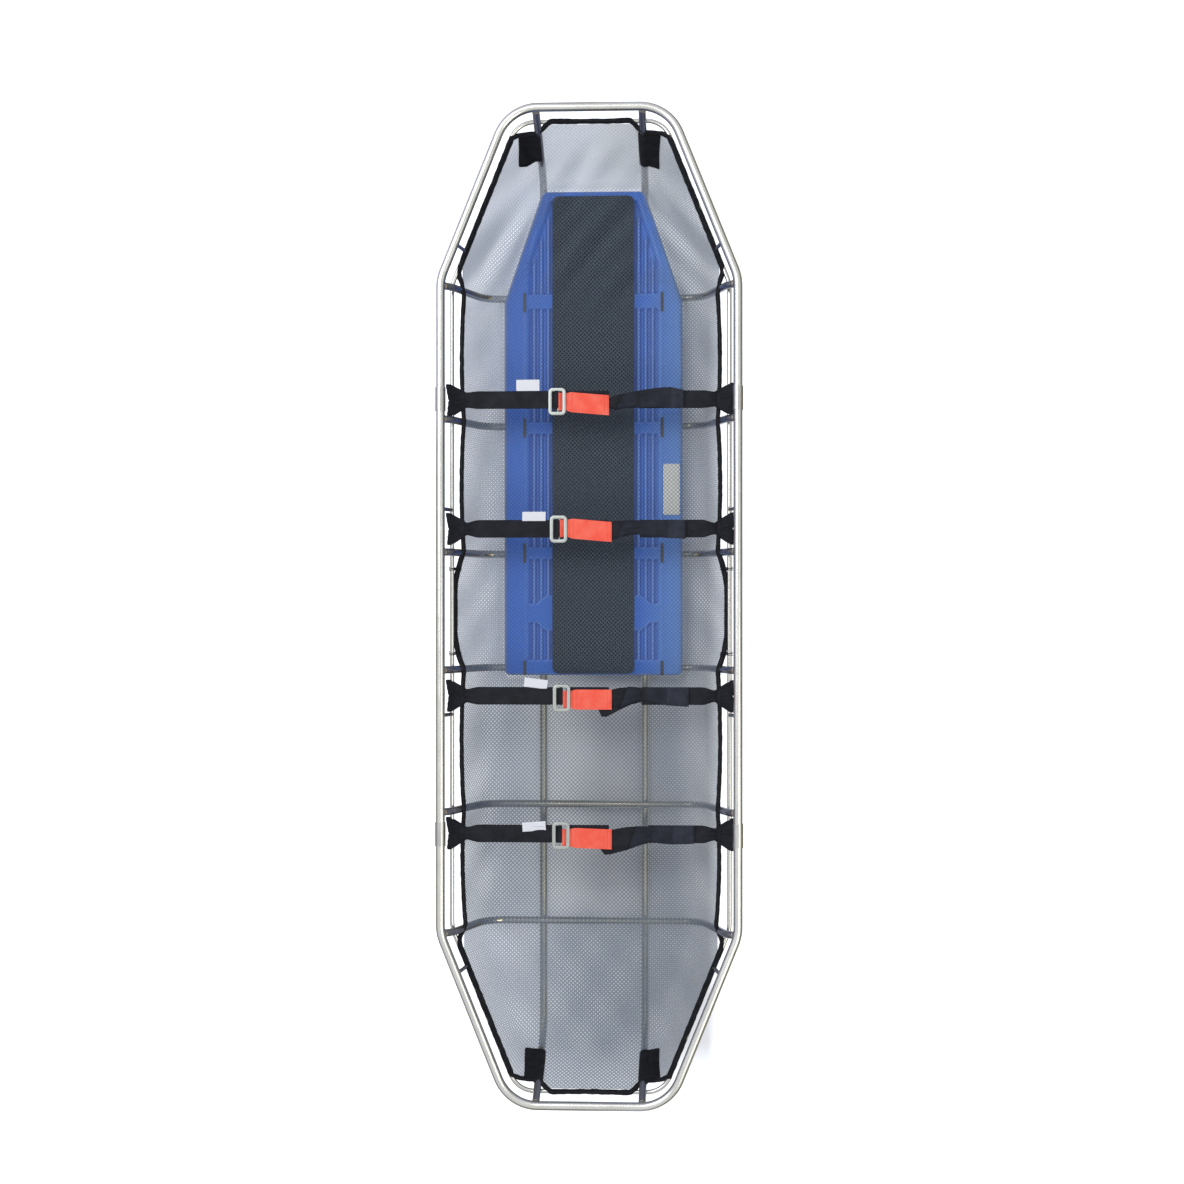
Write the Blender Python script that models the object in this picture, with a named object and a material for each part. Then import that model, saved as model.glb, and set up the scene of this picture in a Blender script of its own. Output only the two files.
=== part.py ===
# Basket stretcher: tube frame, net bed, moulded back board and four patient straps.
# Metres, +Z up. The head end is at +Y. The origin is on the floor under the middle.
import math

import bmesh
import bpy
from mathutils import Matrix, Vector

# Clearance between parts that touch
GAP = 0.0003

# Overall size, over the top rail
LENGTH = 2.134
WIDTH = 0.650

# Top rail: four tubes that meet inside sleeves
RAIL_OD = 0.01905
RAIL_WALL = 0.0016
END_HALF = 0.169
SHOULDER_BACK = 0.372
SHOULDER_BEND = 0.100
END_BEND = 0.090
SLEEVE_OD = 0.0222
SLEEVE_LENGTH = 0.050
SLEEVE_HEAD_Y = 0.440
SLEEVE_FOOT_Y = -0.4835

# Runners on the floor, rising to the end rails
RUNNER_OD = 0.0159
RUNNER_WALL = 0.0015
RUNNER_X = 0.113
RUNNER_LEAN = math.radians(30)
RUNNER_BEND = 0.075

# Ribs across the runners, rising to the side rails
RIB_OD = 0.0159
RIB_WALL = 0.0015
RIB_MIDDLE_YS = (0.399, 0.116, -0.135, -0.437)
RIB_HEAD_OFFSET = 0.013
RIB_DEPTH = 0.1765
RIB_CORNER_X = 0.2424
RIB_LEAN = math.radians(18.9)
RIB_BEND = 0.060
RIB_TOP_BEND = 0.060
RIB_TOP_DROP = 0.024

# Middle rail, a rod ring welded outside the ribs and the runner ends
RING_OD = 0.0095
RING_DROP = 0.055
RING_DIAGONAL_INSET = 0.017
RING_SHOULDER_BEND = 0.082
RING_END_BEND = 0.055
STANDOFF_OD = 0.008
STANDOFF_SIDE_YS = (0.208, -0.232)
STANDOFF_DIAGONAL_OFFSETS = (0.076, 0.085)

# Back board with its slots, channels and keepers
BOARD_HALF = 0.1965
BOARD_HEAD_HALF = 0.1125
BOARD_HEAD_OFFSET = 0.220
BOARD_SHOULDER_OFFSET = 0.023
BOARD_FOOT_Y = -0.151
BOARD_THICKNESS = 0.012
BOARD_CORNER = 0.012
BOARD_SHOULDER_BEND = 0.100
BOARD_EDGE_ROUND = 0.003
SLOT_INSET = 0.045
SLOT_WIDTH = 0.006
SLOT_LENGTH = 0.043
SLOT_OFFSETS = (-0.011, -0.0045, 0.002, -0.006)
CHANNEL_PLACES = (0.073, 0.293, 0.553, 0.813)
CHANNEL_WIDTH = 0.0085
CHANNEL_DEPTH = 0.004
CHANNEL_DRAFT = 0.0015
CHANNEL_STOPS_ABOVE = (0.004, 0.005, 0.012, 0.015)
CHANNEL_STOPS_BELOW = (0.022, 0.015, 0.008)
CHANNEL_FOOT_BAND = (-0.050, 0.022)
CHANNEL_OUTER_OFFSET = 0.018
CHANNEL_HEAD_MARGIN = 0.006
CHANNEL_TAPER_MARGIN = 0.020
CUTTER_REACH = 0.010
KEEPER_LEG = 0.004
KEEPER_DROP = 0.006
KEEPER_MOUTH = 0.012
KEEPER_INSET = 0.0005
KEEPER_CUTTER_REACH = 0.020

# Pad and plate on the board
PAD_HALF = 0.090
PAD_HEAD_INSET = 0.011
PAD_FOOT_INSET = 0.0035
PAD_THICKNESS = 0.008
PAD_CORNER = 0.014
PAD_EDGE_ROUND = 0.0024
PLATE_SIZE = (0.0365, 0.112)
PLATE_INSET = 0.024
PLATE_Y = 0.258
PLATE_THICKNESS = 0.001
PLATE_CORNER = 0.003

# Net bed and the flaps that close it round the runner ends
NET_THICKNESS = 0.0015
HEM_THICKNESS = 0.005
HEM_WIDTH = 0.010
HEM_SIDE_DROP = 0.0060
HEM_BOW = 0.008
NET_BAY_SAG = 0.006
NET_FOLD = 0.005
NET_FOLD_PITCH = 0.160
NET_HEAD_OFFSETS = (0.060, 0.145)
NET_FOOT_OFFSETS = (0.075, 0.160)
NET_END_OFFSETS = (0.0505, 0.0275)
NET_BOARD_HEAD_OFFSETS = (0.001, 0.018)
NET_BOARD_FOOT_OFFSETS = (0.003, 0.010)
NET_FLOOR_SHARES = (0.33, 0.66, 0.94)
NET_END_GAP = 0.0002
NET_KNEE_Y = 0.012
NET_KNEE_Z = 0.040
BOARD_EDGE_REACH = 0.002
BOARD_FOOT_REACH = 0.0035
BOARD_EDGE_DROP = 0.003
PAD_EDGE_IN = 0.001
PAD_EDGE_OUT = 0.010
NOTCH_HALF = 0.0265
NOTCH_Z = 0.034
FLAP_WIDTH = 0.047
FLAP_WALL = 0.0022
FLAP_LOW_Z = 0.0506
FLAP_HIGH_Z = 0.1340

# Patient straps
STRAP_OFFSETS = (0.045, 0.051, -0.057, -0.051)
WEBBING_WIDTH = 0.038
WEBBING = 0.0025
LEFT_RISE = 0.0004
HITCH_LENGTH = 0.064
HITCH_RADIUS = 0.0098
HITCH_JOIN = 0.003
HITCH_SHARES = (0.38, 0.30)
THROAT_WIDTH = 0.024
THROAT_DISTANCE = 0.030
THROAT_THICKNESS = 0.0048
THROAT_MIDDLE = 0.0165
LEFT_THROAT_LIFT = 0.0006
RIGHT_THROAT_LIFT = 0.0012
FULL_DISTANCE = 0.058
BUCKLE_SIZE = (0.038, 0.059)
BUCKLE_THICKNESS = 0.0035
BUCKLE_BAR = 0.009
BUCKLE_CORNER = 0.007
BUCKLE_EDGE_ROUND = 0.0008
LOOP_START = 0.0025
LOOP_END_GAP = 0.0012
MIDDLE_BAR = 0.003
MIDDLE_BAR_OFFSET = 0.0017
BUCKLE_XS = (-0.071, -0.071, -0.066, -0.066)
TAB_WIDTH = 0.043
TAB_ROOT_WIDTH = 0.038
TAB_END_X = 0.040
TAB_LOOP_END = 0.005
TAB_BAR_MARGIN = 0.001
TAB_TILTS = (math.radians(5), math.radians(5), 0.0, math.radians(2))
TWIST_WIDTH = 0.026
TAKE_UP_WIDTH = 0.042
TAKE_UP_HEIGHT = 0.0095
TWIST_START_X = 0.046
TAKE_UP_START_X = 0.094
TAKE_UP_END_X = 0.205
TAKE_UP_RAMP = 0.012
TAKE_UP_SHOULDER = 0.008
TAKE_UP_SOFTENING = 0.002
TWIST_LEAD = 0.016
TWIST_OFFSET = 0.003
TWIST_DROP = 0.001

# Faceting
RAIL_SIDES = 16
TUBE_SIDES = 12
ROD_SIDES = 8
BEND_STEP = math.radians(18)
SMOOTH_LIMIT = math.radians(38)
BEVEL_LIMIT = math.radians(60)

# Heights and places that follow from the sizes above
SHOULDER_Y = LENGTH / 2 - SHOULDER_BACK
RIB_YS = (SHOULDER_Y - RIB_HEAD_OFFSET, *RIB_MIDDLE_YS, -SHOULDER_Y)
STRAP_YS = [rib_y + step for rib_y, step in zip(RIB_YS[1:5], STRAP_OFFSETS)]
BOARD_HEAD_Y = SHOULDER_Y + BOARD_HEAD_OFFSET
BOARD_SHOULDER_Y = SHOULDER_Y - BOARD_SHOULDER_OFFSET
PAD_HEAD_Y = BOARD_HEAD_Y - PAD_HEAD_INSET
PAD_FOOT_Y = BOARD_FOOT_Y + PAD_FOOT_INSET
SLOT_X = BOARD_HALF - SLOT_INSET
SLOT_YS = [rib_y + step for rib_y, step in zip(RIB_YS, SLOT_OFFSETS)]
CHANNEL_XS = [PAD_HALF + (SLOT_X - PAD_HALF) * place for place in CHANNEL_PLACES]
PLATE_CENTRE = (BOARD_HALF - PLATE_INSET, PLATE_Y)
RUNNER_Z = RUNNER_OD / 2
RIB_Z = RUNNER_OD + GAP + RIB_OD / 2
RAIL_Z = RIB_Z + RIB_DEPTH
RING_Z = RAIL_Z - RING_DROP
BOARD_Z = RIB_Z + RIB_OD / 2 + GAP
BOARD_TOP = BOARD_Z + BOARD_THICKNESS
PAD_Z = BOARD_TOP + GAP
PAD_TOP = PAD_Z + PAD_THICKNESS
RAIL_X = WIDTH / 2 - RAIL_OD / 2
RAIL_END_Y = LENGTH / 2 - RAIL_OD / 2


def corner_radius(radius, sides):
    """Radius at the corners of a polygon whose flats touch a circle."""
    return radius / math.cos(math.pi / sides)


RIB_REACH = corner_radius(RIB_OD / 2, TUBE_SIDES)
RUNNER_REACH = corner_radius(RUNNER_OD / 2, TUBE_SIDES)
RING_REACH = corner_radius(RING_OD / 2, TUBE_SIDES)
RIB_AT_RING = RIB_CORNER_X + (RIB_DEPTH - RING_DROP) * math.tan(RIB_LEAN)
RING_X = RIB_AT_RING + (RIB_REACH + GAP + RING_REACH) / math.cos(RIB_LEAN)
UPRIGHT_AT_RING = RAIL_END_Y - RING_DROP * math.tan(RUNNER_LEAN)
RING_END_Y = UPRIGHT_AT_RING + (RUNNER_REACH + GAP + RING_REACH) / math.cos(RUNNER_LEAN)
RUNNER_CORNER_Y = RAIL_END_Y - (RAIL_Z - RUNNER_Z) * math.tan(RUNNER_LEAN)


def clear_scene():
    for item in list(bpy.data.objects):
        bpy.data.objects.remove(item, do_unlink=True)


def make_material(name, colour, roughness, metallic=0.0):
    material = bpy.data.materials.new(name)
    material.use_nodes = True
    shader = material.node_tree.nodes["Principled BSDF"]
    shader.inputs["Base Color"].default_value = (*colour, 1.0)
    shader.inputs["Roughness"].default_value = roughness
    shader.inputs["Metallic"].default_value = metallic
    material.diffuse_color = (*colour, 1.0)
    return material


def satin_tube():
    return make_material("satin_metal_tube", (0.62, 0.60, 0.57), 0.35, 1.0)


def knit_net():
    return make_material("knit_net", (0.20, 0.21, 0.23), 0.90)


def hook_and_loop():
    return make_material("hook_and_loop_black", (0.020, 0.020, 0.022), 0.95)


def blue_board():
    return make_material("moulded_polyethylene_blue", (0.045, 0.13, 0.50), 0.45)


def black_foam():
    return make_material("foam_pad_black", (0.035, 0.036, 0.038), 0.85)


def black_keeper():
    return make_material("moulded_nylon_black", (0.015, 0.015, 0.016), 0.50)


def bare_plate_metal():
    return make_material("bare_plate_aluminium", (0.66, 0.67, 0.68), 0.40, 1.0)


def black_webbing():
    return make_material("woven_webbing_black", (0.022, 0.023, 0.027), 0.80)


def buckle_steel():
    return make_material("stamped_buckle_steel", (0.60, 0.61, 0.60), 0.40, 1.0)


def red_webbing():
    return make_material("woven_tab_red", (0.92, 0.14, 0.08), 0.75)


def link_mesh(name, mesh_builder, material=None, smooth=True):
    """Turn a bmesh into a named object with one material."""
    bmesh.ops.recalc_face_normals(mesh_builder, faces=mesh_builder.faces)
    mesh = bpy.data.meshes.new(name)
    mesh_builder.to_mesh(mesh)
    mesh_builder.free()
    if smooth:
        mesh.shade_smooth()
        mesh.set_sharp_from_angle(angle=SMOOTH_LIMIT)
    if material:
        mesh.materials.append(material)
    piece = bpy.data.objects.new(name, mesh)
    bpy.context.collection.objects.link(piece)
    return piece


def as_cutter(piece):
    piece.hide_render = True
    piece.display_type = "WIRE"
    return piece


def apply_boolean(piece, cutter, operation="DIFFERENCE"):
    modifier = piece.modifiers.new("cut_by_" + cutter.name, "BOOLEAN")
    modifier.operation = operation
    modifier.solver = "EXACT"
    modifier.object = cutter


def put_origin(piece, point):
    """Move a piece's origin without moving the piece."""
    piece.data.transform(Matrix.Translation(-Vector(point)))
    piece.location = point


def make_pivot(name, point):
    pivot = bpy.data.objects.new(name, None)
    pivot.location = point
    bpy.context.collection.objects.link(pivot)
    return pivot


def hang_on(piece, pivot):
    """Give a moving piece the pivot as parent and as origin."""
    put_origin(piece, pivot.location)
    piece.parent = pivot
    piece.location = (0, 0, 0)


def rounded_path(corners, closed=False):
    """Points of a polyline whose corners, (point, radius), are bent to arcs."""
    points = []
    count = len(corners)
    for index, (point, radius) in enumerate(corners):
        point = Vector(point)
        is_end = not closed and index in (0, count - 1)
        if is_end or radius == 0:
            points.append(point)
            continue
        before = (Vector(corners[index - 1][0]) - point).normalized()
        after = (Vector(corners[(index + 1) % count][0]) - point).normalized()
        half = before.angle(after) / 2
        turn = math.pi - 2 * half
        centre = point + (before + after).normalized() * radius / math.sin(half)
        first = point + before * radius / math.tan(half) - centre
        last = point + after * radius / math.tan(half) - centre
        steps = max(2, math.ceil(turn / BEND_STEP))
        for step in range(steps + 1):
            share = step / steps
            arm = first * math.sin((1 - share) * turn) + last * math.sin(share * turn)
            points.append(centre + arm / math.sin(turn))
    return points


def circle_section(radius, sides):
    """Polygon whose flats touch the circle, with a flat facing each main direction."""
    reach = corner_radius(radius, sides)
    angles = [(index + 0.5) * 2 * math.pi / sides for index in range(sides)]
    return [(reach * math.cos(angle), reach * math.sin(angle)) for angle in angles]


def sweep(name, points, up, outer, inner=None, closed=False, material=None):
    """Sweep a section of (side, up) offsets along points; inner is a bore, open at both ends."""
    builder = bmesh.new()
    up = Vector(up)
    count = len(points)
    outer_rings = []
    inner_rings = []
    for index, point in enumerate(points):
        has_before = closed or index > 0
        has_after = closed or index < count - 1
        ahead = (points[(index + 1) % count] - point).normalized() if has_after else None
        behind = (point - points[index - 1]).normalized() if has_before else None
        forward = ((ahead or behind) + (behind or ahead)).normalized()
        side = forward.cross(up).normalized()
        lift = side.cross(forward).normalized()
        stretch = 1 / forward.dot(ahead or behind)
        for section, rings in ((outer, outer_rings), (inner, inner_rings)):
            if section:
                ring = [builder.verts.new(point + side * across * stretch + lift * high)
                        for across, high in section]
                rings.append(ring)
    sides = len(outer)
    for rings in (outer_rings, inner_rings):
        spans = len(rings) if closed else len(rings) - 1
        for index in range(spans):
            here = rings[index]
            there = rings[(index + 1) % len(rings)]
            for edge in range(sides):
                turn = (edge + 1) % sides
                builder.faces.new((here[edge], here[turn], there[turn], there[edge]))
    if not closed and inner:
        for end in (0, -1):
            rim = outer_rings[end]
            bore = inner_rings[end]
            for edge in range(sides):
                turn = (edge + 1) % sides
                builder.faces.new((rim[edge], rim[turn], bore[turn], bore[edge]))
    elif not closed:
        builder.faces.new(outer_rings[0])
        builder.faces.new(outer_rings[-1])
    return link_mesh(name, builder, material)


def tube(name, points, up, diameter, wall, material, sides=TUBE_SIDES):
    outer = circle_section(diameter / 2, sides)
    inner = circle_section(diameter / 2 - wall, sides)
    return sweep(name, points, up, outer, inner, material=material)


def prism(name, outline, low, high, material=None):
    """Upright solid over a closed outline of (x, y) points."""
    builder = bmesh.new()
    floor = [builder.verts.new((x, y, low)) for x, y in outline]
    base = builder.faces.new(floor)
    lifted = bmesh.ops.extrude_face_region(builder, geom=[base])["geom"]
    corners = [item for item in lifted if isinstance(item, bmesh.types.BMVert)]
    bmesh.ops.translate(builder, verts=corners, vec=(0, 0, high - low))
    return link_mesh(name, builder, material, smooth=False)


def rounded_outline(corners):
    """Closed outline of (x, y) points from ((x, y), radius) corners."""
    lifted = [((x, y, 0.0), radius) for (x, y), radius in corners]
    return [(point.x, point.y) for point in rounded_path(lifted, closed=True)]


def rounded_rectangle(centre, size, radius):
    half_x, half_y = size[0] / 2, size[1] / 2
    signs = ((1, 1), (-1, 1), (-1, -1), (1, -1))
    corners = [((centre[0] + sx * half_x, centre[1] + sy * half_y), radius) for sx, sy in signs]
    return rounded_outline(corners)


def add_box(builder, low, high, draft=0.0):
    """Box in a bmesh; draft narrows its floor on every side."""
    verts = []
    for z, inset in ((low[2], draft), (high[2], 0.0)):
        for x, y in ((low[0] + inset, low[1] + inset), (high[0] - inset, low[1] + inset),
                     (high[0] - inset, high[1] - inset), (low[0] + inset, high[1] - inset)):
            verts.append(builder.verts.new((x, y, z)))
    for face in ((0, 3, 2, 1), (4, 5, 6, 7), (0, 1, 5, 4), (1, 2, 6, 5), (2, 3, 7, 6), (3, 0, 4, 7)):
        builder.faces.new([verts[index] for index in face])


def outline_corner_points(side_inset, end_inset, diagonal_inset):
    """Shoulder and end corner, in the +X +Y quarter, of the rail outline drawn inwards."""
    run = Vector((END_HALF - RAIL_X, RAIL_END_Y - SHOULDER_Y)).normalized()
    inward = Vector((-run.y, run.x))
    side_x = RAIL_X - side_inset
    end_y = RAIL_END_Y - end_inset
    shoulder_y = SHOULDER_Y + (diagonal_inset - (side_x - RAIL_X) * inward.x) / inward.y
    end_x = RAIL_X + (diagonal_inset - (end_y - SHOULDER_Y) * inward.y) / inward.x
    return (side_x, shoulder_y), (end_x, end_y)


def closed_outline(insets, bends, z):
    """The whole rail outline drawn inwards by (side, end, diagonal), as points at one height."""
    (side_x, shoulder_y), (end_x, end_y) = outline_corner_points(*insets)
    quarter = (((side_x, shoulder_y), bends[0]), ((end_x, end_y), bends[1]))
    corners = []
    for sx, sy in ((1, 1), (-1, 1), (-1, -1), (1, -1)):
        order = quarter if sx == sy else quarter[::-1]
        corners += [((sx * x, sy * y, z), bend) for (x, y), bend in order]
    return rounded_path(corners, closed=True)


def half_width_at(points, y):
    """Widest X that a closed outline reaches at one Y."""
    reach = 0.0
    for index, point in enumerate(points):
        other = points[index - 1]
        low, high = sorted((point.y, other.y))
        if low <= y <= high and high > low:
            share = (y - other.y) / (point.y - other.y)
            reach = max(reach, other.x + (point.x - other.x) * share)
    return reach


RING_INSETS = (RAIL_X - RING_X, RAIL_END_Y - RING_END_Y, RING_DIAGONAL_INSET)
RING_BENDS = (RING_SHOULDER_BEND, RING_END_BEND)


def rail_path():
    return closed_outline((0, 0, 0), (SHOULDER_BEND, END_BEND), RAIL_Z)


def ring_path():
    return closed_outline(RING_INSETS, RING_BENDS, RING_Z)


def make_rail(metal):
    """Two end bends, two straight sides and four sleeves."""
    for name, way, start_y in (("rail_head_bend", 1, SLEEVE_HEAD_Y),
                               ("rail_foot_bend", -1, SLEEVE_FOOT_Y)):
        start = start_y + way * GAP / 2
        corners = [((RAIL_X, start, RAIL_Z), 0),
                   ((RAIL_X, way * SHOULDER_Y, RAIL_Z), SHOULDER_BEND),
                   ((END_HALF, way * RAIL_END_Y, RAIL_Z), END_BEND),
                   ((-END_HALF, way * RAIL_END_Y, RAIL_Z), END_BEND),
                   ((-RAIL_X, way * SHOULDER_Y, RAIL_Z), SHOULDER_BEND),
                   ((-RAIL_X, start, RAIL_Z), 0)]
        tube(name, rounded_path(corners), (0, 0, 1), RAIL_OD, RAIL_WALL, metal, RAIL_SIDES)
    for side, x in (("left", -RAIL_X), ("right", RAIL_X)):
        ends = [Vector((x, SLEEVE_FOOT_Y + GAP / 2, RAIL_Z)), Vector((x, SLEEVE_HEAD_Y - GAP / 2, RAIL_Z))]
        tube("rail_" + side + "_side", ends, (0, 0, 1), RAIL_OD, RAIL_WALL, metal, RAIL_SIDES)
        for end, y in (("head", SLEEVE_HEAD_Y), ("foot", SLEEVE_FOOT_Y)):
            reach = SLEEVE_LENGTH / 2
            ends = [Vector((x, y - reach, RAIL_Z)), Vector((x, y + reach, RAIL_Z))]
            wall = (SLEEVE_OD - RAIL_OD) / 2 - GAP
            tube("sleeve_" + end + "_" + side, ends, (0, 0, 1), SLEEVE_OD, wall, metal, RAIL_SIDES)


def make_ring(metal):
    section = circle_section(RING_OD / 2, TUBE_SIDES)
    sweep("middle_rail", ring_path(), (0, 0, 1), section, closed=True, material=metal)


def make_envelope(name, path, radius, sides):
    """Cutter that leaves the clearance round a welded-on rail."""
    section = circle_section(radius + GAP, sides)
    return as_cutter(sweep(name, path, (0, 0, 1), section, closed=True))


def rib_side_shift(y):
    """How far a rib near the shoulder is drawn in, so that it stays inside the ring."""
    return RING_X - half_width_at(ring_path(), abs(y) + RIB_REACH)


def rib_corners(y):
    """Half a rib, from the rail down to the floor corner, as (x, z) and bend radius."""
    shift = rib_side_shift(y)
    top_x = RIB_CORNER_X + (RIB_DEPTH - RIB_TOP_DROP) * math.tan(RIB_LEAN)
    rail_x = half_width_at(rail_path(), abs(y))
    return [((rail_x, RAIL_Z), 0),
            ((top_x - shift, RAIL_Z - RIB_TOP_DROP), RIB_TOP_BEND),
            ((RIB_CORNER_X - shift, RIB_Z), RIB_BEND)]


def make_ribs(metal, rail_envelope):
    for index, y in enumerate(RIB_YS):
        half = rib_corners(y)
        right = [((x, y, z), bend) for (x, z), bend in half]
        left = [((-x, y, z), bend) for (x, z), bend in reversed(half)]
        points = rounded_path(right + left)
        rib = tube("rib_" + str(index + 1), points, (0, 1, 0), RIB_OD, RIB_WALL, metal)
        apply_boolean(rib, rail_envelope)


def make_runners(metal, rail_envelope):
    for side, x in (("left", -RUNNER_X), ("right", RUNNER_X)):
        corners = [((x, RAIL_END_Y, RAIL_Z), 0), ((x, RUNNER_CORNER_Y, RUNNER_Z), RUNNER_BEND),
                   ((x, -RUNNER_CORNER_Y, RUNNER_Z), RUNNER_BEND), ((x, -RAIL_END_Y, RAIL_Z), 0)]
        runner = tube("runner_" + side, rounded_path(corners), (1, 0, 0), RUNNER_OD, RUNNER_WALL, metal)
        apply_boolean(runner, rail_envelope)


def make_standoffs(metal, rail_envelope, ring_envelope):
    """Short rods from the middle rail up to the top rail."""
    run = Vector((END_HALF - RAIL_X, RAIL_END_Y - SHOULDER_Y)).normalized()
    section = circle_section(STANDOFF_OD / 2, ROD_SIDES)
    places = [(y, Vector((-1, 0)), RING_INSETS[0], (0, 1, 0)) for y in STANDOFF_SIDE_YS]
    head_step, foot_step = STANDOFF_DIAGONAL_OFFSETS
    for way, y in ((1, SHOULDER_Y + head_step), (-1, -SHOULDER_Y - foot_step)):
        inward = Vector((-run.y, way * run.x))
        places.append((y, inward, RING_DIAGONAL_INSET, (run.x, way * run.y, 0)))
    number = 0
    for y, inward, inset, up in places:
        top = Vector((half_width_at(rail_path(), y), y, RAIL_Z))
        low = Vector((top.x + inward.x * inset, y + inward.y * inset, RING_Z))
        for sign in (-1, 1):
            number += 1
            mirror = Vector((sign, 1, 1))
            ends = [low * mirror, top * mirror]
            rod = sweep("standoff_" + str(number), ends, Vector(up) * mirror, section, material=metal)
            apply_boolean(rod, rail_envelope)
            apply_boolean(rod, ring_envelope)


def board_half_at(y):
    """Half width of the board, which narrows towards the head."""
    if y <= BOARD_SHOULDER_Y:
        return BOARD_HALF
    share = (y - BOARD_SHOULDER_Y) / (BOARD_HEAD_Y - BOARD_SHOULDER_Y)
    return BOARD_HALF + (BOARD_HEAD_HALF - BOARD_HALF) * share


def board_outline():
    right = [((BOARD_HALF, BOARD_FOOT_Y), BOARD_CORNER),
             ((BOARD_HALF, BOARD_SHOULDER_Y), BOARD_SHOULDER_BEND),
             ((BOARD_HEAD_HALF, BOARD_HEAD_Y), BOARD_CORNER)]
    left = [((-x, y), radius) for (x, y), radius in reversed(right)]
    return rounded_outline(right + left)


def channel_spans(x):
    """Lengths of the moulded channels at one X, between the flat bands at the ribs."""
    slope = (BOARD_HALF - BOARD_HEAD_HALF) / (BOARD_HEAD_Y - BOARD_SHOULDER_Y)
    taper_end = BOARD_HEAD_Y - (x + CHANNEL_TAPER_MARGIN - BOARD_HEAD_HALF) / slope
    head_end = min(PAD_HEAD_Y - CHANNEL_HEAD_MARGIN, taper_end)
    is_outer = x > (CHANNEL_XS[1] + CHANNEL_XS[2]) / 2
    step = CHANNEL_OUTER_OFFSET if is_outer else 0.0
    lows = [rib_y + stop for rib_y, stop in zip(RIB_YS, CHANNEL_STOPS_ABOVE)]
    highs = [rib_y - stop for rib_y, stop in zip(RIB_YS, CHANNEL_STOPS_BELOW)]
    band_low, band_high = CHANNEL_FOOT_BAND
    return ((lows[0], head_end), (lows[1], highs[0]), (lows[2], highs[1]),
            (band_high - step, highs[2]), (lows[3], band_low + step))


def make_board(plastic):
    board = prism("back_board", board_outline(), BOARD_Z, BOARD_TOP, plastic)
    bevel = board.modifiers.new("edge_round", "BEVEL")
    bevel.width = BOARD_EDGE_ROUND
    bevel.segments = 1
    bevel.limit_method = "ANGLE"
    bevel.angle_limit = BEVEL_LIMIT
    builder = bmesh.new()
    half_channel = CHANNEL_WIDTH / 2
    half_slot = SLOT_WIDTH / 2
    for sign in (-1, 1):
        for x in CHANNEL_XS:
            for low_y, high_y in channel_spans(x):
                add_box(builder, (sign * x - half_channel, low_y, BOARD_TOP - CHANNEL_DEPTH),
                        (sign * x + half_channel, high_y, BOARD_TOP + CHANNEL_DEPTH), CHANNEL_DRAFT)
        for y in SLOT_YS:
            add_box(builder, (sign * SLOT_X - half_slot, y - SLOT_LENGTH / 2, BOARD_Z - CUTTER_REACH),
                    (sign * SLOT_X + half_slot, y + SLOT_LENGTH / 2, BOARD_TOP + CUTTER_REACH))
    apply_boolean(board, as_cutter(link_mesh("board_cutter", builder, smooth=False)))


def make_keepers(nylon):
    """Black keepers: a head that fills the slot, and two legs that clasp the rib below."""
    half = SLOT_WIDTH / 2 - GAP
    for index, slot_y in enumerate(SLOT_YS):
        rib_y = RIB_YS[index]
        bore = RIB_REACH + GAP
        leg_reach = bore + KEEPER_LEG
        head_low = max(slot_y - SLOT_LENGTH / 2, BOARD_FOOT_Y) + GAP
        head_high = slot_y + SLOT_LENGTH / 2 - GAP
        for side, x in (("left", -SLOT_X), ("right", SLOT_X)):
            name = "board_keeper_" + str(index + 1) + "_" + side
            floor = BOARD_Z - GAP - RIB_OD / 2
            builder = bmesh.new()
            add_box(builder, (x - half, head_low, floor), (x + half, head_high, BOARD_TOP - KEEPER_INSET))
            keeper = link_mesh(name, builder, nylon, smooth=False)
            legs = bmesh.new()
            add_box(legs, (x - half, rib_y - leg_reach, RIB_Z - KEEPER_DROP),
                    (x + half, rib_y + leg_reach, BOARD_Z - GAP))
            legs_piece = as_cutter(link_mesh(name + "_legs", legs, smooth=False))
            apply_boolean(keeper, legs_piece, "UNION")
            reach = KEEPER_CUTTER_REACH
            ends = [Vector((x - reach, rib_y, RIB_Z)), Vector((x + reach, rib_y, RIB_Z))]
            rib_room = sweep(name + "_rib_room", ends, (0, 1, 0), circle_section(bore, TUBE_SIDES))
            apply_boolean(keeper, as_cutter(rib_room))
            mouth = bmesh.new()
            add_box(mouth, (x - reach, rib_y - KEEPER_MOUTH / 2, RIB_Z - reach),
                    (x + reach, rib_y + KEEPER_MOUTH / 2, RIB_Z))
            apply_boolean(keeper, as_cutter(link_mesh(name + "_mouth", mouth, smooth=False)))


def make_pad(foam):
    centre = (0, (PAD_HEAD_Y + PAD_FOOT_Y) / 2)
    size = (2 * PAD_HALF, PAD_HEAD_Y - PAD_FOOT_Y)
    pad = prism("board_pad", rounded_rectangle(centre, size, PAD_CORNER), PAD_Z, PAD_TOP, foam)
    bevel = pad.modifiers.new("soft_edge", "BEVEL")
    bevel.width = PAD_EDGE_ROUND
    bevel.segments = 2
    bevel.limit_method = "ANGLE"
    bevel.angle_limit = BEVEL_LIMIT


def make_plate(metal):
    low = BOARD_TOP + GAP
    outline = rounded_rectangle(PLATE_CENTRE, PLATE_SIZE, PLATE_CORNER)
    prism("bare_plate", outline, low, low + PLATE_THICKNESS, metal)


def hem_path():
    """Where the net's bound edge may reach: just inside the middle rail."""
    inset = RING_REACH + 2 * GAP
    insets = tuple(value + inset for value in RING_INSETS)
    return closed_outline(insets, (RING_SHOULDER_BEND, RING_END_BEND - inset), RING_Z)


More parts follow.
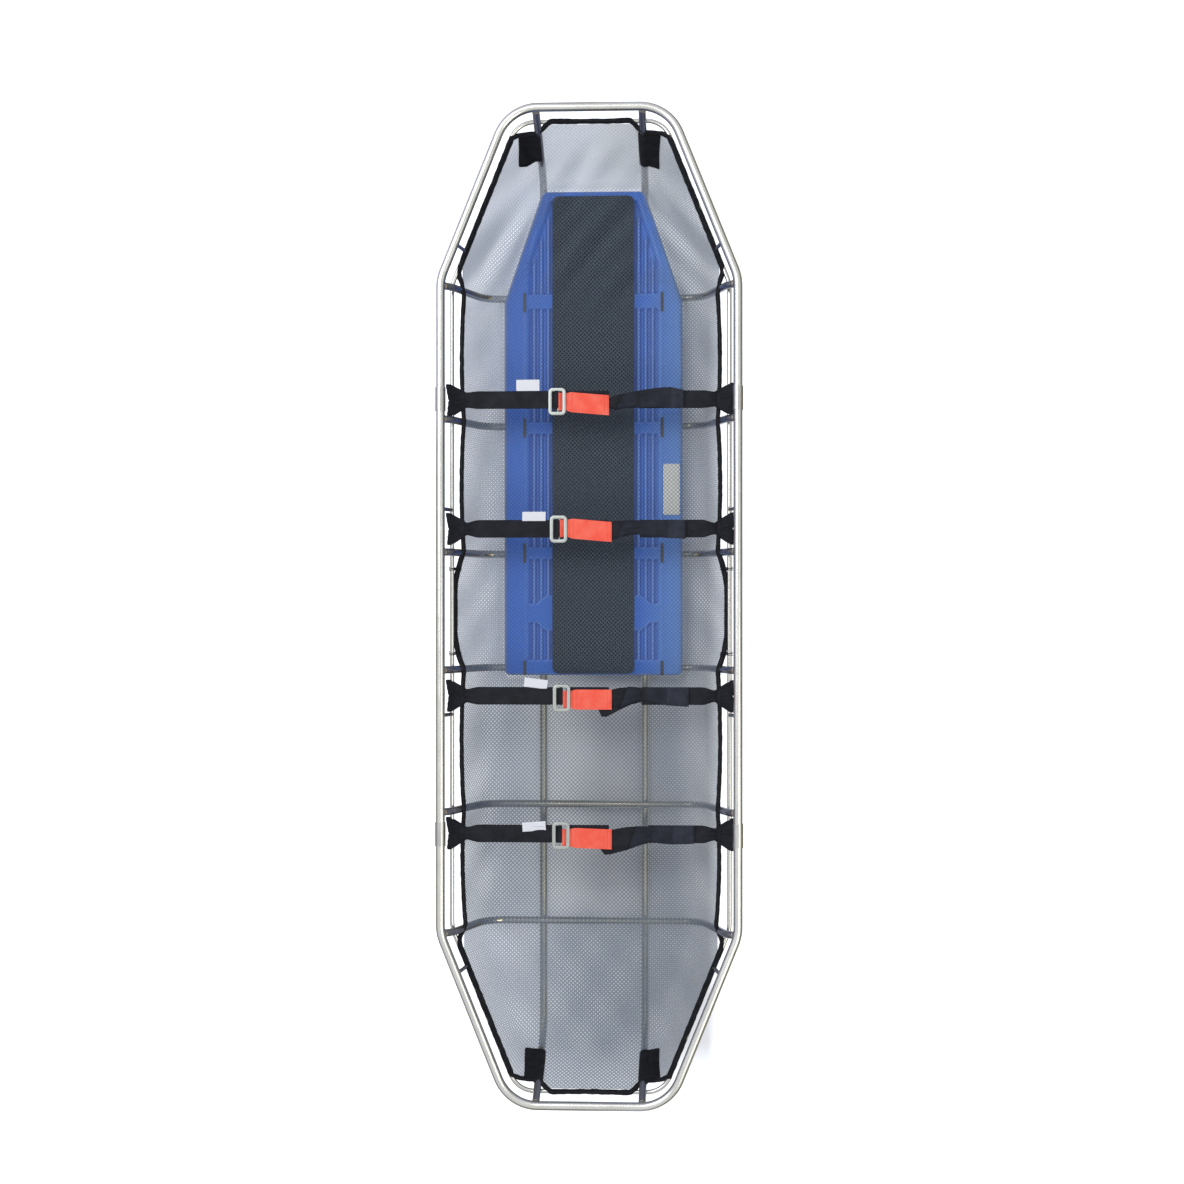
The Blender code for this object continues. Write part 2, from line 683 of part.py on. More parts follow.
def rib_inside_x(y, z):
    """X of the net against a rib's inner side, at one height."""
    centre = RIB_CORNER_X - rib_side_shift(y) + (z - RIB_Z) * math.tan(RIB_LEAN)
    return centre - (RIB_REACH + GAP) / math.cos(RIB_LEAN)


def hem_half_at(y, hem, hem_z):
    """Half width of the net's edge: tight inside each rib, bowed out between two ribs."""
    reach = half_width_at(hem, y)
    if not RIB_YS[-1] <= y <= RIB_YS[0]:
        return min(reach, rib_inside_x(RIB_YS[0] if y > 0 else RIB_YS[-1], hem_z) + 0.5 * HEM_BOW)
    above = min(rib for rib in RIB_YS if rib >= y)
    below = max(rib for rib in RIB_YS if rib <= y)
    share = 0.0 if above == below else (y - below) / (above - below)
    inside = rib_inside_x(below, hem_z) * (1 - share) + rib_inside_x(above, hem_z) * share
    return min(reach, inside + HEM_BOW * math.sin(math.pi * share))


def end_floor_z(y, hem_end_y, hem_z):
    """Height of the net's floor towards an end, where it climbs to the middle rail."""
    flat = RIB_Z + RIB_REACH + GAP
    start_y = RUNNER_CORNER_Y - RUNNER_BEND * math.tan((math.pi / 2 - RUNNER_LEAN) / 2)
    knee_y = RUNNER_CORNER_Y + NET_KNEE_Y
    knee_z = RUNNER_Z + NET_KNEE_Z
    if y <= start_y:
        return flat
    if y <= knee_y:
        return flat + (knee_z - flat) * ((y - start_y) / (knee_y - start_y)) ** 2
    return knee_z + (hem_z - knee_z) * (y - knee_y) / (hem_end_y - knee_y)


def net_stations():
    """Places along Y where the net's cross section is drawn."""
    bays = [(RIB_YS[index] + RIB_YS[index + 1]) / 2 for index in range(len(RIB_YS) - 1)]
    stations = [*RIB_YS, *bays]
    stations += [SHOULDER_Y + step for step in NET_HEAD_OFFSETS]
    stations += [-SHOULDER_Y - step for step in NET_FOOT_OFFSETS]
    stations += [BOARD_HEAD_Y + step for step in NET_BOARD_HEAD_OFFSETS]
    stations += [BOARD_FOOT_Y - step for step in NET_BOARD_FOOT_OFFSETS]
    end_y = max(point.y for point in hem_path())
    ends = [RUNNER_CORNER_Y + NET_KNEE_Y, end_y - HEM_WIDTH, end_y - NET_END_GAP]
    ends += [end_y - step for step in NET_END_OFFSETS]
    return sorted(stations + ends + [-y for y in ends])


def fold_rise(x, y, on_side):
    """Height of the net's slanting folds, past the end ribs only."""
    if on_side or abs(y) > RUNNER_CORNER_Y:
        return 0.0
    phase = (x + abs(y)) / NET_FOLD_PITCH
    return NET_FOLD * math.sin(math.pi * phase) ** 2


def net_section(y, hem):
    """Outer surface of half the net at one station, from the middle to the edge."""
    on_side = RIB_YS[-1] <= y <= RIB_YS[0]
    hem_z = RING_Z - HEM_SIDE_DROP if on_side else RING_Z - 0.5 * HEM_SIDE_DROP
    hem_end_y = max(point.y for point in hem)
    edge_x = hem_half_at(y, hem, hem_z)
    flat = RIB_Z + RIB_REACH + GAP
    offset = RIB_REACH + GAP
    wall_x = edge_x - (hem_z - flat) * math.tan(RIB_LEAN)
    corner_bend = RIB_BEND - offset
    profile = rounded_path([((0, 0, flat), 0), ((wall_x, 0, flat), corner_bend), ((edge_x, 0, hem_z), 0)])
    arc = profile[1:-1]
    over_board = BOARD_FOOT_Y - BOARD_FOOT_REACH <= y <= BOARD_HEAD_Y + BOARD_EDGE_REACH
    floor_end = arc[0].x
    edge_level = 0.0
    if over_board:
        board_edge = board_half_at(y) + BOARD_EDGE_REACH
        level = BOARD_TOP + PLATE_THICKNESS + 2 * GAP
        edge_level = level if board_edge > floor_end else BOARD_TOP - BOARD_EDGE_DROP
        xs = [0, PAD_HALF - PAD_EDGE_IN, PAD_HALF + PAD_EDGE_OUT, min(board_edge, floor_end)]
        zs = [PAD_TOP + 2 * GAP, PAD_TOP + 2 * GAP, level, level]
    else:
        xs = [0] + [floor_end * share for share in NET_FLOOR_SHARES]
        is_bay = on_side and y not in RIB_YS and y < BOARD_FOOT_Y - max(NET_BOARD_FOOT_OFFSETS)
        sag = NET_BAY_SAG if is_bay else 0.0
        zs = [flat - sag] * 3 + [flat - 0.5 * sag]
    for point in arc[1:]:
        xs.append(point.x)
        zs.append(max(point.z, edge_level) + fold_rise(point.x, y, on_side))
    hem_share = HEM_WIDTH * math.cos(RIB_LEAN) / (hem_z - arc[-1].z)
    for share in (1 - hem_share, 1.0):
        xs.append(arc[-1].x + (edge_x - arc[-1].x) * share)
        zs.append(arc[-1].z + (hem_z - arc[-1].z) * share)
    floor_z = end_floor_z(abs(y), hem_end_y, RING_Z)
    if floor_z > flat:
        span = zs[-1] - flat
        zs = [floor_z + (RING_Z - floor_z) * max(0.0, z - flat) / span for z in zs]
    return [Vector((x, y, z)) for x, z in zip(xs, zs)]


def make_net(fabric):
    """Knit net as one thin sheet with a thicker bound edge, notched at the runner ends."""
    hem = hem_path()
    rows = []
    for y in net_stations():
        half = net_section(y, hem)
        left = [Vector((-point.x, point.y, point.z)) for point in reversed(half[1:])]
        rows.append(left + half)
    last_row = len(rows) - 1
    last_column = len(rows[0]) - 1
    builder = bmesh.new()
    outer = []
    inner = []
    for row, points in enumerate(rows):
        outer_line = []
        inner_line = []
        for column, point in enumerate(points):
            along = rows[min(row + 1, last_row)][column] - rows[max(row - 1, 0)][column]
            across = points[min(column + 1, last_column)] - points[max(column - 1, 0)]
            inward = across.cross(along).normalized()
            near_edge = min(row, last_row - row, column, last_column - column) <= 1
            thickness = HEM_THICKNESS if near_edge else NET_THICKNESS
            outer_line.append(builder.verts.new(point))
            inner_line.append(builder.verts.new(point + inward * thickness))
        outer.append(outer_line)
        inner.append(inner_line)
    for grid in (outer, inner):
        for row in range(last_row):
            for column in range(last_column):
                builder.faces.new((grid[row][column], grid[row][column + 1],
                                   grid[row + 1][column + 1], grid[row + 1][column]))
    border = [(0, column) for column in range(last_column)]
    border += [(row, last_column) for row in range(last_row)]
    border += [(last_row, column) for column in range(last_column, 0, -1)]
    border += [(row, 0) for row in range(last_row, 0, -1)]
    for index, (row, column) in enumerate(border):
        next_row, next_column = border[(index + 1) % len(border)]
        builder.faces.new((outer[row][column], outer[next_row][next_column],
                           inner[next_row][next_column], inner[row][column]))
    net = link_mesh("net", builder, fabric)
    apply_boolean(net, make_notches())


def upright_point(z, way):
    """Point on a runner's end, at one height, towards one end of the stretcher."""
    return Vector((0, way * (RAIL_END_Y - (RAIL_Z - z) * math.tan(RUNNER_LEAN)), z))


def make_notches():
    """Cutter that keeps the net clear of the runner ends and their flaps."""
    builder = bmesh.new()
    deep = RUNNER_REACH + FLAP_WALL + 3 * GAP
    for way in (-1, 1):
        for x in (-RUNNER_X, RUNNER_X):
            low = upright_point(RUNNER_Z + NOTCH_Z, way)
            high = upright_point(RAIL_Z, way)
            lift = (high - low).normalized()
            inward = Vector((0, -lift.z * way, abs(lift.y)))
            verts = []
            for end in (low, high):
                for side, depth in ((-1, 1), (1, 1), (1, -2), (-1, -2)):
                    point = end + inward * depth * deep
                    verts.append(builder.verts.new((x + side * NOTCH_HALF, point.y, point.z)))
            near, far = verts[:4], verts[4:]
            builder.faces.new(near)
            builder.faces.new(far)
            for edge in range(4):
                turn = (edge + 1) % 4
                builder.faces.new((near[edge], near[turn], far[turn], far[edge]))
    return as_cutter(link_mesh("net_notches", builder, smooth=False))


def make_flaps(fabric):
    """Hook-and-loop flaps wrapped flat round the runner ends."""
    bore = circle_section(RUNNER_OD / 2 + GAP, TUBE_SIDES)
    half_thick = RUNNER_REACH + GAP + FLAP_WALL
    half_wide = FLAP_WIDTH / 2
    outer = []
    for index in range(TUBE_SIDES):
        angle = (index + 0.5) * 2 * math.pi / TUBE_SIDES
        across, high = math.cos(angle), math.sin(angle)
        outer.append((math.copysign(abs(across) ** 0.5, across) * half_thick,
                      math.copysign(abs(high) ** 0.8, high) * half_wide))
    for end, way in (("head", 1), ("foot", -1)):
        for side, x in (("left", -RUNNER_X), ("right", RUNNER_X)):
            ends = [upright_point(FLAP_LOW_Z, way), upright_point(FLAP_HIGH_Z, way)]
            ends = [Vector((x, point.y, point.z)) for point in ends]
            sweep("flap_" + end + "_" + side, ends, (1, 0, 0), outer, bore, material=fabric)


def band(name, stations, material):
    """Flat strap along X from (x, y, half width, low z, high z) stations."""
    builder = bmesh.new()
    rings = []
    for x, y, half, low, high in stations:
        corners = ((y - half, low), (y + half, low), (y + half, high), (y - half, high))
        rings.append([builder.verts.new((x, side, z)) for side, z in corners])
    for here, there in zip(rings, rings[1:]):
        for edge in range(4):
            turn = (edge + 1) % 4
            builder.faces.new((here[edge], here[turn], there[turn], there[edge]))
    builder.faces.new(rings[0])
    builder.faces.new(rings[-1])
    return link_mesh(name, builder, material, smooth=False)


def add_hitch(webbing, x, y):
    """Join the hitch, a barrel of webbing round the middle rail, to its strap."""
    reach = HITCH_LENGTH / 2
    ends = [Vector((x, y - reach, RING_Z)), Vector((x, y + reach, RING_Z))]
    bore = circle_section(RING_REACH + GAP, TUBE_SIDES)
    outer = circle_section(HITCH_RADIUS, TUBE_SIDES)
    barrel = sweep(webbing.name + "_hitch", ends, (0, 0, 1), outer, bore)
    apply_boolean(webbing, as_cutter(barrel), "UNION")


def throat_stations(ring_x, y, centre_z, low, high):
    """Strap from its hitch to full width; ring_x is signed, and the strap runs inwards."""
    way = -math.copysign(1, ring_x)
    half = WEBBING_WIDTH / 2
    throat = THROAT_WIDTH / 2
    thick = THROAT_THICKNESS / 2
    floor, roof = centre_z - thick, centre_z + thick
    start_half, middle_half = (HITCH_LENGTH * share for share in HITCH_SHARES)
    return [(ring_x + way * (HITCH_RADIUS - HITCH_JOIN), y, start_half, floor, roof),
            (ring_x + way * THROAT_MIDDLE, y, middle_half, floor, roof),
            (ring_x + way * THROAT_DISTANCE, y, throat, floor, roof),
            (ring_x + way * FULL_DISTANCE, y, half, low, high)]


LEFT_LOW = RING_Z + LEFT_RISE
LEFT_HIGH = LEFT_LOW + WEBBING
RIGHT_HIGH = LEFT_LOW - GAP
RIGHT_LOW = RIGHT_HIGH - WEBBING
BUCKLE_LOW = LEFT_HIGH + GAP
BUCKLE_HIGH = BUCKLE_LOW + BUCKLE_THICKNESS


def buckle_windows(centre_x):
    """The two gaps of a buckle, each side of its middle bar, as (low x, high x)."""
    inner = BUCKLE_SIZE[0] / 2 - BUCKLE_BAR
    bar_low = centre_x + MIDDLE_BAR_OFFSET - MIDDLE_BAR / 2
    return (centre_x - inner, bar_low), (bar_low + MIDDLE_BAR, centre_x + inner)


def make_left_half(index, y, webbing_material, metal, red):
    """Left webbing, and the buckle and pull tab that tip up on it."""
    name = "strap_" + str(index + 1)
    centre_x = BUCKLE_XS[index]
    first, second = buckle_windows(centre_x)
    half = WEBBING_WIDTH / 2
    middle_z = LEFT_LOW + WEBBING / 2 + LEFT_THROAT_LIFT
    stations = throat_stations(-RING_X, y, middle_z, LEFT_LOW, LEFT_HIGH)
    stations += [(first[0] + GAP, y, half, LEFT_LOW, LEFT_HIGH),
                 (first[0] + LOOP_START, y, half, LEFT_LOW, BUCKLE_HIGH - GAP),
                 (first[1] - LOOP_END_GAP, y, half, LEFT_LOW, BUCKLE_HIGH - GAP)]
    webbing = band(name + "_left_webbing", stations, webbing_material)
    add_hitch(webbing, -RING_X, y)
    swing = make_pivot(name + "_left_swing", (-RING_X, y, RING_Z))
    hang_on(webbing, swing)
    tip_x = centre_x - BUCKLE_SIZE[0] / 2
    tip = make_pivot(name + "_buckle_tip", (tip_x + RING_X, 0, BUCKLE_LOW - RING_Z))
    tip.parent = swing
    outline = rounded_rectangle((centre_x, y), BUCKLE_SIZE, BUCKLE_CORNER)
    frame = prism(name + "_buckle", outline, BUCKLE_LOW, BUCKLE_HIGH, metal)
    window_half = BUCKLE_SIZE[1] / 2 - BUCKLE_BAR
    builder = bmesh.new()
    for low_x, high_x in (first, second):
        add_box(builder, (low_x, y - window_half, BUCKLE_LOW - CUTTER_REACH),
                (high_x, y + window_half, BUCKLE_HIGH + CUTTER_REACH))
    apply_boolean(frame, as_cutter(link_mesh(name + "_buckle_windows", builder, smooth=False)))
    bevel = frame.modifiers.new("worn_edge", "BEVEL")
    bevel.width = BUCKLE_EDGE_ROUND
    bevel.segments = 1
    bevel.limit_method = "ANGLE"
    bevel.angle_limit = BEVEL_LIMIT
    tab = make_tab(name, index, y, second, red)
    for piece in (frame, tab):
        put_origin(piece, (tip_x, y, BUCKLE_LOW))
        piece.parent = tip
        piece.location = (0, 0, 0)


def make_tab(name, index, y, window, red):
    """Pull tab: sewn round the middle bar, under the right bar and out over the strap."""
    half = TAB_WIDTH / 2
    root = TAB_ROOT_WIDTH / 2
    tilt = math.tan(TAB_TILTS[index])
    bar_end = window[1] + BUCKLE_BAR + TAB_BAR_MARGIN
    return band(name + "_pull_tab",
                [(window[0] + 2 * GAP, y, root, BUCKLE_LOW, BUCKLE_HIGH - GAP),
                 (window[1] - TAB_LOOP_END, y, root, BUCKLE_LOW, BUCKLE_HIGH - GAP),
                 (window[1] - 2 * GAP, y, root, LEFT_LOW, LEFT_HIGH),
                 (bar_end, y, half, LEFT_LOW, LEFT_HIGH),
                 (TAB_END_X, y - (TAB_END_X - bar_end) * tilt, half, LEFT_LOW, LEFT_HIGH)], red)


def make_right_half(index, y, webbing_material):
    """Right webbing: under the tab, twisted, folded where it is taken up, and hitched."""
    name = "strap_" + str(index + 1)
    half = WEBBING_WIDTH / 2
    slim = TWIST_WIDTH / 2
    folded = TAKE_UP_WIDTH / 2
    first, second = buckle_windows(BUCKLE_XS[index])
    raised = RIGHT_LOW + TAKE_UP_HEIGHT
    softened = raised - TAKE_UP_SOFTENING
    twist_low = RIGHT_LOW - TWIST_DROP
    twist_y = y - TWIST_OFFSET
    stations = [(first[1] + 2 * GAP, y, half, RIGHT_LOW, RIGHT_HIGH),
                (TAB_END_X, y, half, RIGHT_LOW, RIGHT_HIGH),
                (TWIST_START_X + TAKE_UP_RAMP, twist_y, slim, twist_low, softened),
                (TAKE_UP_START_X - TWIST_LEAD, twist_y, slim, twist_low, softened),
                (TAKE_UP_START_X + TAKE_UP_SHOULDER, y, folded, RIGHT_LOW, softened),
                ((TAKE_UP_START_X + TAKE_UP_END_X) / 2, y, folded, RIGHT_LOW, raised),
                (TAKE_UP_END_X - TAKE_UP_RAMP, y, folded, RIGHT_LOW, softened),
                (TAKE_UP_END_X, y, half, RIGHT_LOW, RIGHT_HIGH)]
    middle_z = RIGHT_LOW + WEBBING / 2 + RIGHT_THROAT_LIFT
    stations += reversed(throat_stations(RING_X, y, middle_z, RIGHT_LOW, RIGHT_HIGH))
    webbing = band(name + "_right_webbing", stations, webbing_material)
    add_hitch(webbing, RING_X, y)
    hang_on(webbing, make_pivot(name + "_right_swing", (RING_X, y, RING_Z)))


def build():
    clear_scene()
    metal = satin_tube()
    make_rail(metal)
    make_ring(metal)
    rail_envelope = make_envelope("rail_envelope", rail_path(), RAIL_OD / 2, RAIL_SIDES)
    ring_envelope = make_envelope("ring_envelope", ring_path(), RING_OD / 2, TUBE_SIDES)
    make_ribs(metal, rail_envelope)
    make_runners(metal, rail_envelope)
    make_standoffs(metal, rail_envelope, ring_envelope)
    make_board(blue_board())
    make_keepers(black_keeper())
    make_pad(black_foam())
    make_plate(bare_plate_metal())
    make_net(knit_net())
    make_flaps(hook_and_loop())
    webbing = black_webbing()
    steel = buckle_steel()
    red = red_webbing()
    for index, y in enumerate(STRAP_YS):
        make_left_half(index, y, webbing, steel, red)
        make_right_half(index, y, webbing)


build()
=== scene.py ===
import math

import bpy
import numpy as np
from mathutils import Matrix, Vector
from mathutils.bvhtree import BVHTree


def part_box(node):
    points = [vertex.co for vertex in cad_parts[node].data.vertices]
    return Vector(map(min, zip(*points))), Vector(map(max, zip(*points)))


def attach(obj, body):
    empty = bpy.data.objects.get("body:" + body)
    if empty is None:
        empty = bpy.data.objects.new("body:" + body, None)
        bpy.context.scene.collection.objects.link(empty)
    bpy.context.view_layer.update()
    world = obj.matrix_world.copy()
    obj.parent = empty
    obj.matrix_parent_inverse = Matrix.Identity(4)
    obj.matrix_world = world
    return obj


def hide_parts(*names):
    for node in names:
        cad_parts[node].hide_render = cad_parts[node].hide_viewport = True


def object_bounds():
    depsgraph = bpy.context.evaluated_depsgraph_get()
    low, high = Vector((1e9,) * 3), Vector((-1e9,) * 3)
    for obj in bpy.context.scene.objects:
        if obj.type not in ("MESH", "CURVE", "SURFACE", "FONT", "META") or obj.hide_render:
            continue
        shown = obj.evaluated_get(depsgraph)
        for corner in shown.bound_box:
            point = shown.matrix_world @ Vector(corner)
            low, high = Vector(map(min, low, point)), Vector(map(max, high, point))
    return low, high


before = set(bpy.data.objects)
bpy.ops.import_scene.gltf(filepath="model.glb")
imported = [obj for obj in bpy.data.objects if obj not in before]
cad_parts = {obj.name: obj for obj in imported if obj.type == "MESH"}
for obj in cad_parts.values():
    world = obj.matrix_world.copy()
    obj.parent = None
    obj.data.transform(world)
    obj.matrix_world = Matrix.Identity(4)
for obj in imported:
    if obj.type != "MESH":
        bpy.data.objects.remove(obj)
CAD_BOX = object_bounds()
BODY = "frame"

# Real sizes, the same values as the CAD part
GAP = 0.0003
LENGTH, WIDTH = 2.134, 0.650
RAIL_OD, SLEEVE_OD, SLEEVE_LENGTH = 0.01905, 0.0222, 0.050
SLEEVE_YS = (0.440, -0.4835)
END_HALF, SHOULDER_Y = 0.169, 0.695
SHOULDER_BEND, END_BEND = 0.100, 0.090
RUNNER_OD, RUNNER_X, RUNNER_LEAN, RUNNER_BEND = 0.0159, 0.113, math.radians(30), 0.075
RIB_OD, RIB_DEPTH, RIB_CORNER_X, RIB_LEAN = 0.0159, 0.1765, 0.2424, math.radians(18.9)
RIB_BEND, RIB_TOP_BEND, RIB_TOP_DROP = 0.060, 0.060, 0.024
RIB_YS = (0.682, 0.399, 0.116, -0.135, -0.437, -0.695)
RING_OD, RING_DROP, RING_DIAGONAL_INSET = 0.0095, 0.055, 0.017
RING_BENDS = (0.082, 0.055)
STANDOFF_OD, STANDOFF_YS = 0.008, (0.208, -0.232, 0.771, -0.780)
BOARD_HALF, BOARD_HEAD_HALF = 0.1965, 0.1125
BOARD_HEAD_Y, BOARD_SHOULDER_Y, BOARD_FOOT_Y = 0.915, 0.672, -0.151
BOARD_THICKNESS, BOARD_CORNER, BOARD_EDGE_ROUND = 0.012, 0.012, 0.0045
SLOT_X, SLOT_WIDTH, SLOT_LENGTH = 0.1515, 0.006, 0.043
SLOT_YS = (0.671, 0.3945, 0.118, -0.141)
PAD_HALF, PAD_HEAD_Y, PAD_FOOT_Y, PAD_THICKNESS, PAD_CORNER = 0.090, 0.904, -0.1475, 0.008, 0.014
STRAP_YS = (0.444, 0.167, -0.192, -0.488)
WEBBING_WIDTH, WEBBING = 0.038, 0.0025
BUCKLE_XS = (-0.071, -0.071, -0.066, -0.066)
BUCKLE_SIZE, BUCKLE_THICKNESS, BUCKLE_BAR = (0.038, 0.059), 0.0035, 0.009
TAB_TILTS = (5.0, 5.0, 0.0, 2.0)
# Pitch of the net's holes along its slanting yarns
NET_PITCH = 0.00635

# Heights and places that follow
RUNNER_Z = RUNNER_OD / 2
RIB_Z = RUNNER_OD + GAP + RIB_OD / 2
RAIL_Z = RIB_Z + RIB_DEPTH
RING_Z = RAIL_Z - RING_DROP
BOARD_Z = RIB_Z + RIB_OD / 2 + GAP
BOARD_TOP = BOARD_Z + BOARD_THICKNESS
PAD_Z = BOARD_TOP + GAP
PAD_TOP = PAD_Z + PAD_THICKNESS
RAIL_X = WIDTH / 2 - RAIL_OD / 2
RAIL_END_Y = LENGTH / 2 - RAIL_OD / 2
RING_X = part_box("middle_rail")[1].x - RING_OD / 2
RING_END_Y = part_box("middle_rail")[1].y - RING_OD / 2
RUNNER_CORNER_Y = RAIL_END_Y - (RAIL_Z - RUNNER_Z) * math.tan(RUNNER_LEAN)
NET_FLOOR = RIB_Z + RIB_OD / 2 + 0.0006
LEFT_LOW = RING_Z + 0.0004
RIGHT_LOW = LEFT_LOW - GAP - WEBBING
BUCKLE_LOW = LEFT_LOW + WEBBING + GAP


def linear(code):
    """An sRGB hex colour as linear RGBA."""
    values = [int(code[index:index + 2], 16) / 255 for index in (1, 3, 5)]
    return (*[v / 12.92 if v <= 0.04045 else ((v + 0.055) / 1.055) ** 2.4 for v in values], 1.0)


def add_node(tree, kind, inputs=None, **settings):
    """Add a node with its settings; an input takes a value or another node's socket."""
    node = tree.nodes.new(kind)
    for name, value in settings.items():
        setattr(node, name, value)
    for key, value in (inputs or {}).items():
        if isinstance(value, bpy.types.NodeSocket):
            tree.links.new(value, node.inputs[key])
        else:
            node.inputs[key].default_value = value
    return node


def maths(tree, operation, *values):
    """Socket of a Math node; each value is a number or a socket."""
    return add_node(tree, "ShaderNodeMath", dict(enumerate(values)), operation=operation).outputs[0]


def spread(tree, value, from_low, from_high, to_low=0.0, to_high=1.0):
    """Socket of a value brought from one range to another, and kept inside it."""
    ranges = {0: value, 1: from_low, 2: from_high, 3: to_low, 4: to_high}
    return add_node(tree, "ShaderNodeMapRange", ranges).outputs[0]


def blend(tree, factor, low, high):
    """Colour from low to high along a 0 to 1 factor; each is a hex code, an RGBA or a socket."""
    low, high = (linear(end) if isinstance(end, str) else end for end in (low, high))
    return add_node(tree, "ShaderNodeMix", {0: factor, 6: low, 7: high}, data_type="RGBA").outputs[2]


def place_on(tree, output="Object"):
    """Socket of a texture coordinate; Object is the place in metres."""
    return add_node(tree, "ShaderNodeTexCoord").outputs[output]


def axis_of(tree, vector, axis):
    """Socket of a vector's X, Y or Z, as 0, 1 or 2."""
    return add_node(tree, "ShaderNodeSeparateXYZ", {0: vector}).outputs[axis]


def scaled(tree, vector, scale, turn=0.0):
    """Socket of a vector turned about Z and scaled."""
    inputs = {"Vector": vector, "Rotation": (0, 0, turn), "Scale": scale}
    return add_node(tree, "ShaderNodeMapping", inputs).outputs[0]


def noise(tree, vector, scale, detail=2.0):
    inputs = {"Vector": vector, "Scale": scale, "Detail": detail}
    return add_node(tree, "ShaderNodeTexNoise", inputs).outputs[0]


def mesh_value(tree, name):
    """Socket of a number that the mesh keeps at each point."""
    return add_node(tree, "ShaderNodeAttribute", attribute_name=name).outputs["Fac"]


def start_material(name, colour, roughness, metallic=0.0, gloss=0.5, sheen=(0.0, 0.5)):
    """A material with one Principled shader, as (material, tree, shader)."""
    material = bpy.data.materials.new(name)
    material.use_nodes = True
    tree = material.node_tree
    shader = tree.nodes["Principled BSDF"]
    values = {"Base Color": linear(colour), "Roughness": roughness, "Metallic": metallic,
              "Specular IOR Level": gloss, "Sheen Weight": sheen[0], "Sheen Roughness": sheen[1]}
    for label, value in values.items():
        shader.inputs[label].default_value = value
    material.diffuse_color = linear(colour)
    return material, tree, shader


def dress(tree, shader, colour=None, roughness=None, bump=None):
    """Link sockets to the shader; bump is (height, distance, strength)."""
    for label, socket in (("Base Color", colour), ("Roughness", roughness)):
        if socket is not None:
            tree.links.new(socket, shader.inputs[label])
    if bump:
        height, distance, strength = bump
        inputs = {"Height": height, "Distance": distance, "Strength": strength}
        tree.links.new(add_node(tree, "ShaderNodeBump", inputs).outputs[0], shader.inputs["Normal"])


def satin_tube_metal(name, top, low, bottom, metallic=1.0, smooth=(0.20, 0.32), painted_top_highlight=None):
    """Stainless tube, drawn and then satin polished, with faint lines along its run.

    Its tone changes with height, from the top of the litter, past half height, to the bottom: the lower tones
    are painted shade and painted reflection of the dim, olive space under the net."""
    material, tree, shader = start_material(name, top[0], 0.3, metallic)
    # Draw lines, drawn coarse: 26 round the tube, each a few hundred mm long
    skin = add_node(tree, "ShaderNodeCombineXYZ", {0: mesh_value(tree, "run"), 1: mesh_value(tree, "turn")})
    lines = noise(tree, scaled(tree, skin.outputs[0], (4.0, 26.0, 1.0)), 1.0, 1.0)
    # Handling marks: soft clouds about 40 mm across
    place = place_on(tree)
    clouds = noise(tree, place, 25.0, 3.0)
    height = axis_of(tree, place, 2)
    tones = [blend(tree, clouds, *pair) for pair in (bottom, low, top)]
    # Painted shade and painted reflection: lower down the tones are painted darker and olive
    colour = blend(tree, spread(tree, height, 0.02, 0.11), tones[0], tones[1])
    colour = blend(tree, spread(tree, height, 0.12, 0.20), colour, tones[2])
    if painted_top_highlight:
        # Painted highlight: a bright line along the top, where the tube faces up
        facing = axis_of(tree, place_on(tree, "Normal"), 2)
        colour = blend(tree, spread(tree, facing, 0.93, 0.985), colour, painted_top_highlight)
    rough = spread(tree, maths(tree, "ADD", lines, clouds), 0.6, 1.4, *smooth)
    dress(tree, shader, colour, rough, (lines, 0.00001, 0.1))
    return material


def weld_metal():
    """Weld fillet in stainless: rippled, a little darker and heat tinted."""
    material, tree, shader = start_material("tig_welded_stainless", "#8f8778", 0.38, 1.0)
    ripple = noise(tree, place_on(tree), 500.0)
    dress(tree, shader, blend(tree, ripple, "#6f675c", "#aaa294"), bump=(ripple, 0.0003, 1.0))
    return material


def knit_net():
    """Knit polyester net: fuzzy dark yarns on the slant, with open square holes."""
    material, tree, shader = start_material("warp_knit_polyester_net", "#4b4f55", 0.75, gloss=0.2,
                                            sheen=(0.12, 0.4))
    cloth = add_node(tree, "ShaderNodeUVMap", uv_map="cloth").outputs[0]
    turned = scaled(tree, cloth, (1 / NET_PITCH, 1 / NET_PITCH, 1.0), math.pi / 4)
    cells = add_node(tree, "ShaderNodeTexVoronoi",
                     {"Vector": turned, "Scale": 1.0, "Exponent": 3.0, "Randomness": 0.0},
                     voronoi_dimensions="2D", distance="MINKOWSKI")
    # How wide the holes are drawn open is kept on the mesh, place by place
    edge = maths(tree, "SUBTRACT", cells.outputs["Distance"], mesh_value(tree, "open"))
    tree.links.new(spread(tree, edge, -0.50, 0.50), shader.inputs["Alpha"])
    # Loops along each yarn, 1.6 mm apart, on yarn with painted light: bluish at the left and dull at the
    # right
    loops = add_node(tree, "ShaderNodeTexVoronoi", {"Vector": turned, "Scale": 4.0},
                     voronoi_dimensions="2D").outputs["Distance"]
    place = place_on(tree)
    patches = noise(tree, place, 8.0, 1.0)
    lean = maths(tree, "MULTIPLY_ADD", axis_of(tree, place, 0), -1.6, patches)
    bluish = spread(tree, lean, 0.25, 0.95)
    # Painted light: yarns are painted lighter where light from the ground would shine through them, except
    # over the board
    painted_glow = mesh_value(tree, "painted_glow")
    tones = [blend(tree, painted_glow, plain, blend(tree, bluish, dull, blue))
             for plain, dull, blue in (("#7c8997", "#b5bbc0", "#b3bed3"), ("#485360", "#9ba1a6", "#97a2b5"))]
    dress(tree, shader, blend(tree, loops, *tones), bump=(loops, 0.0004, 0.7))
    return material


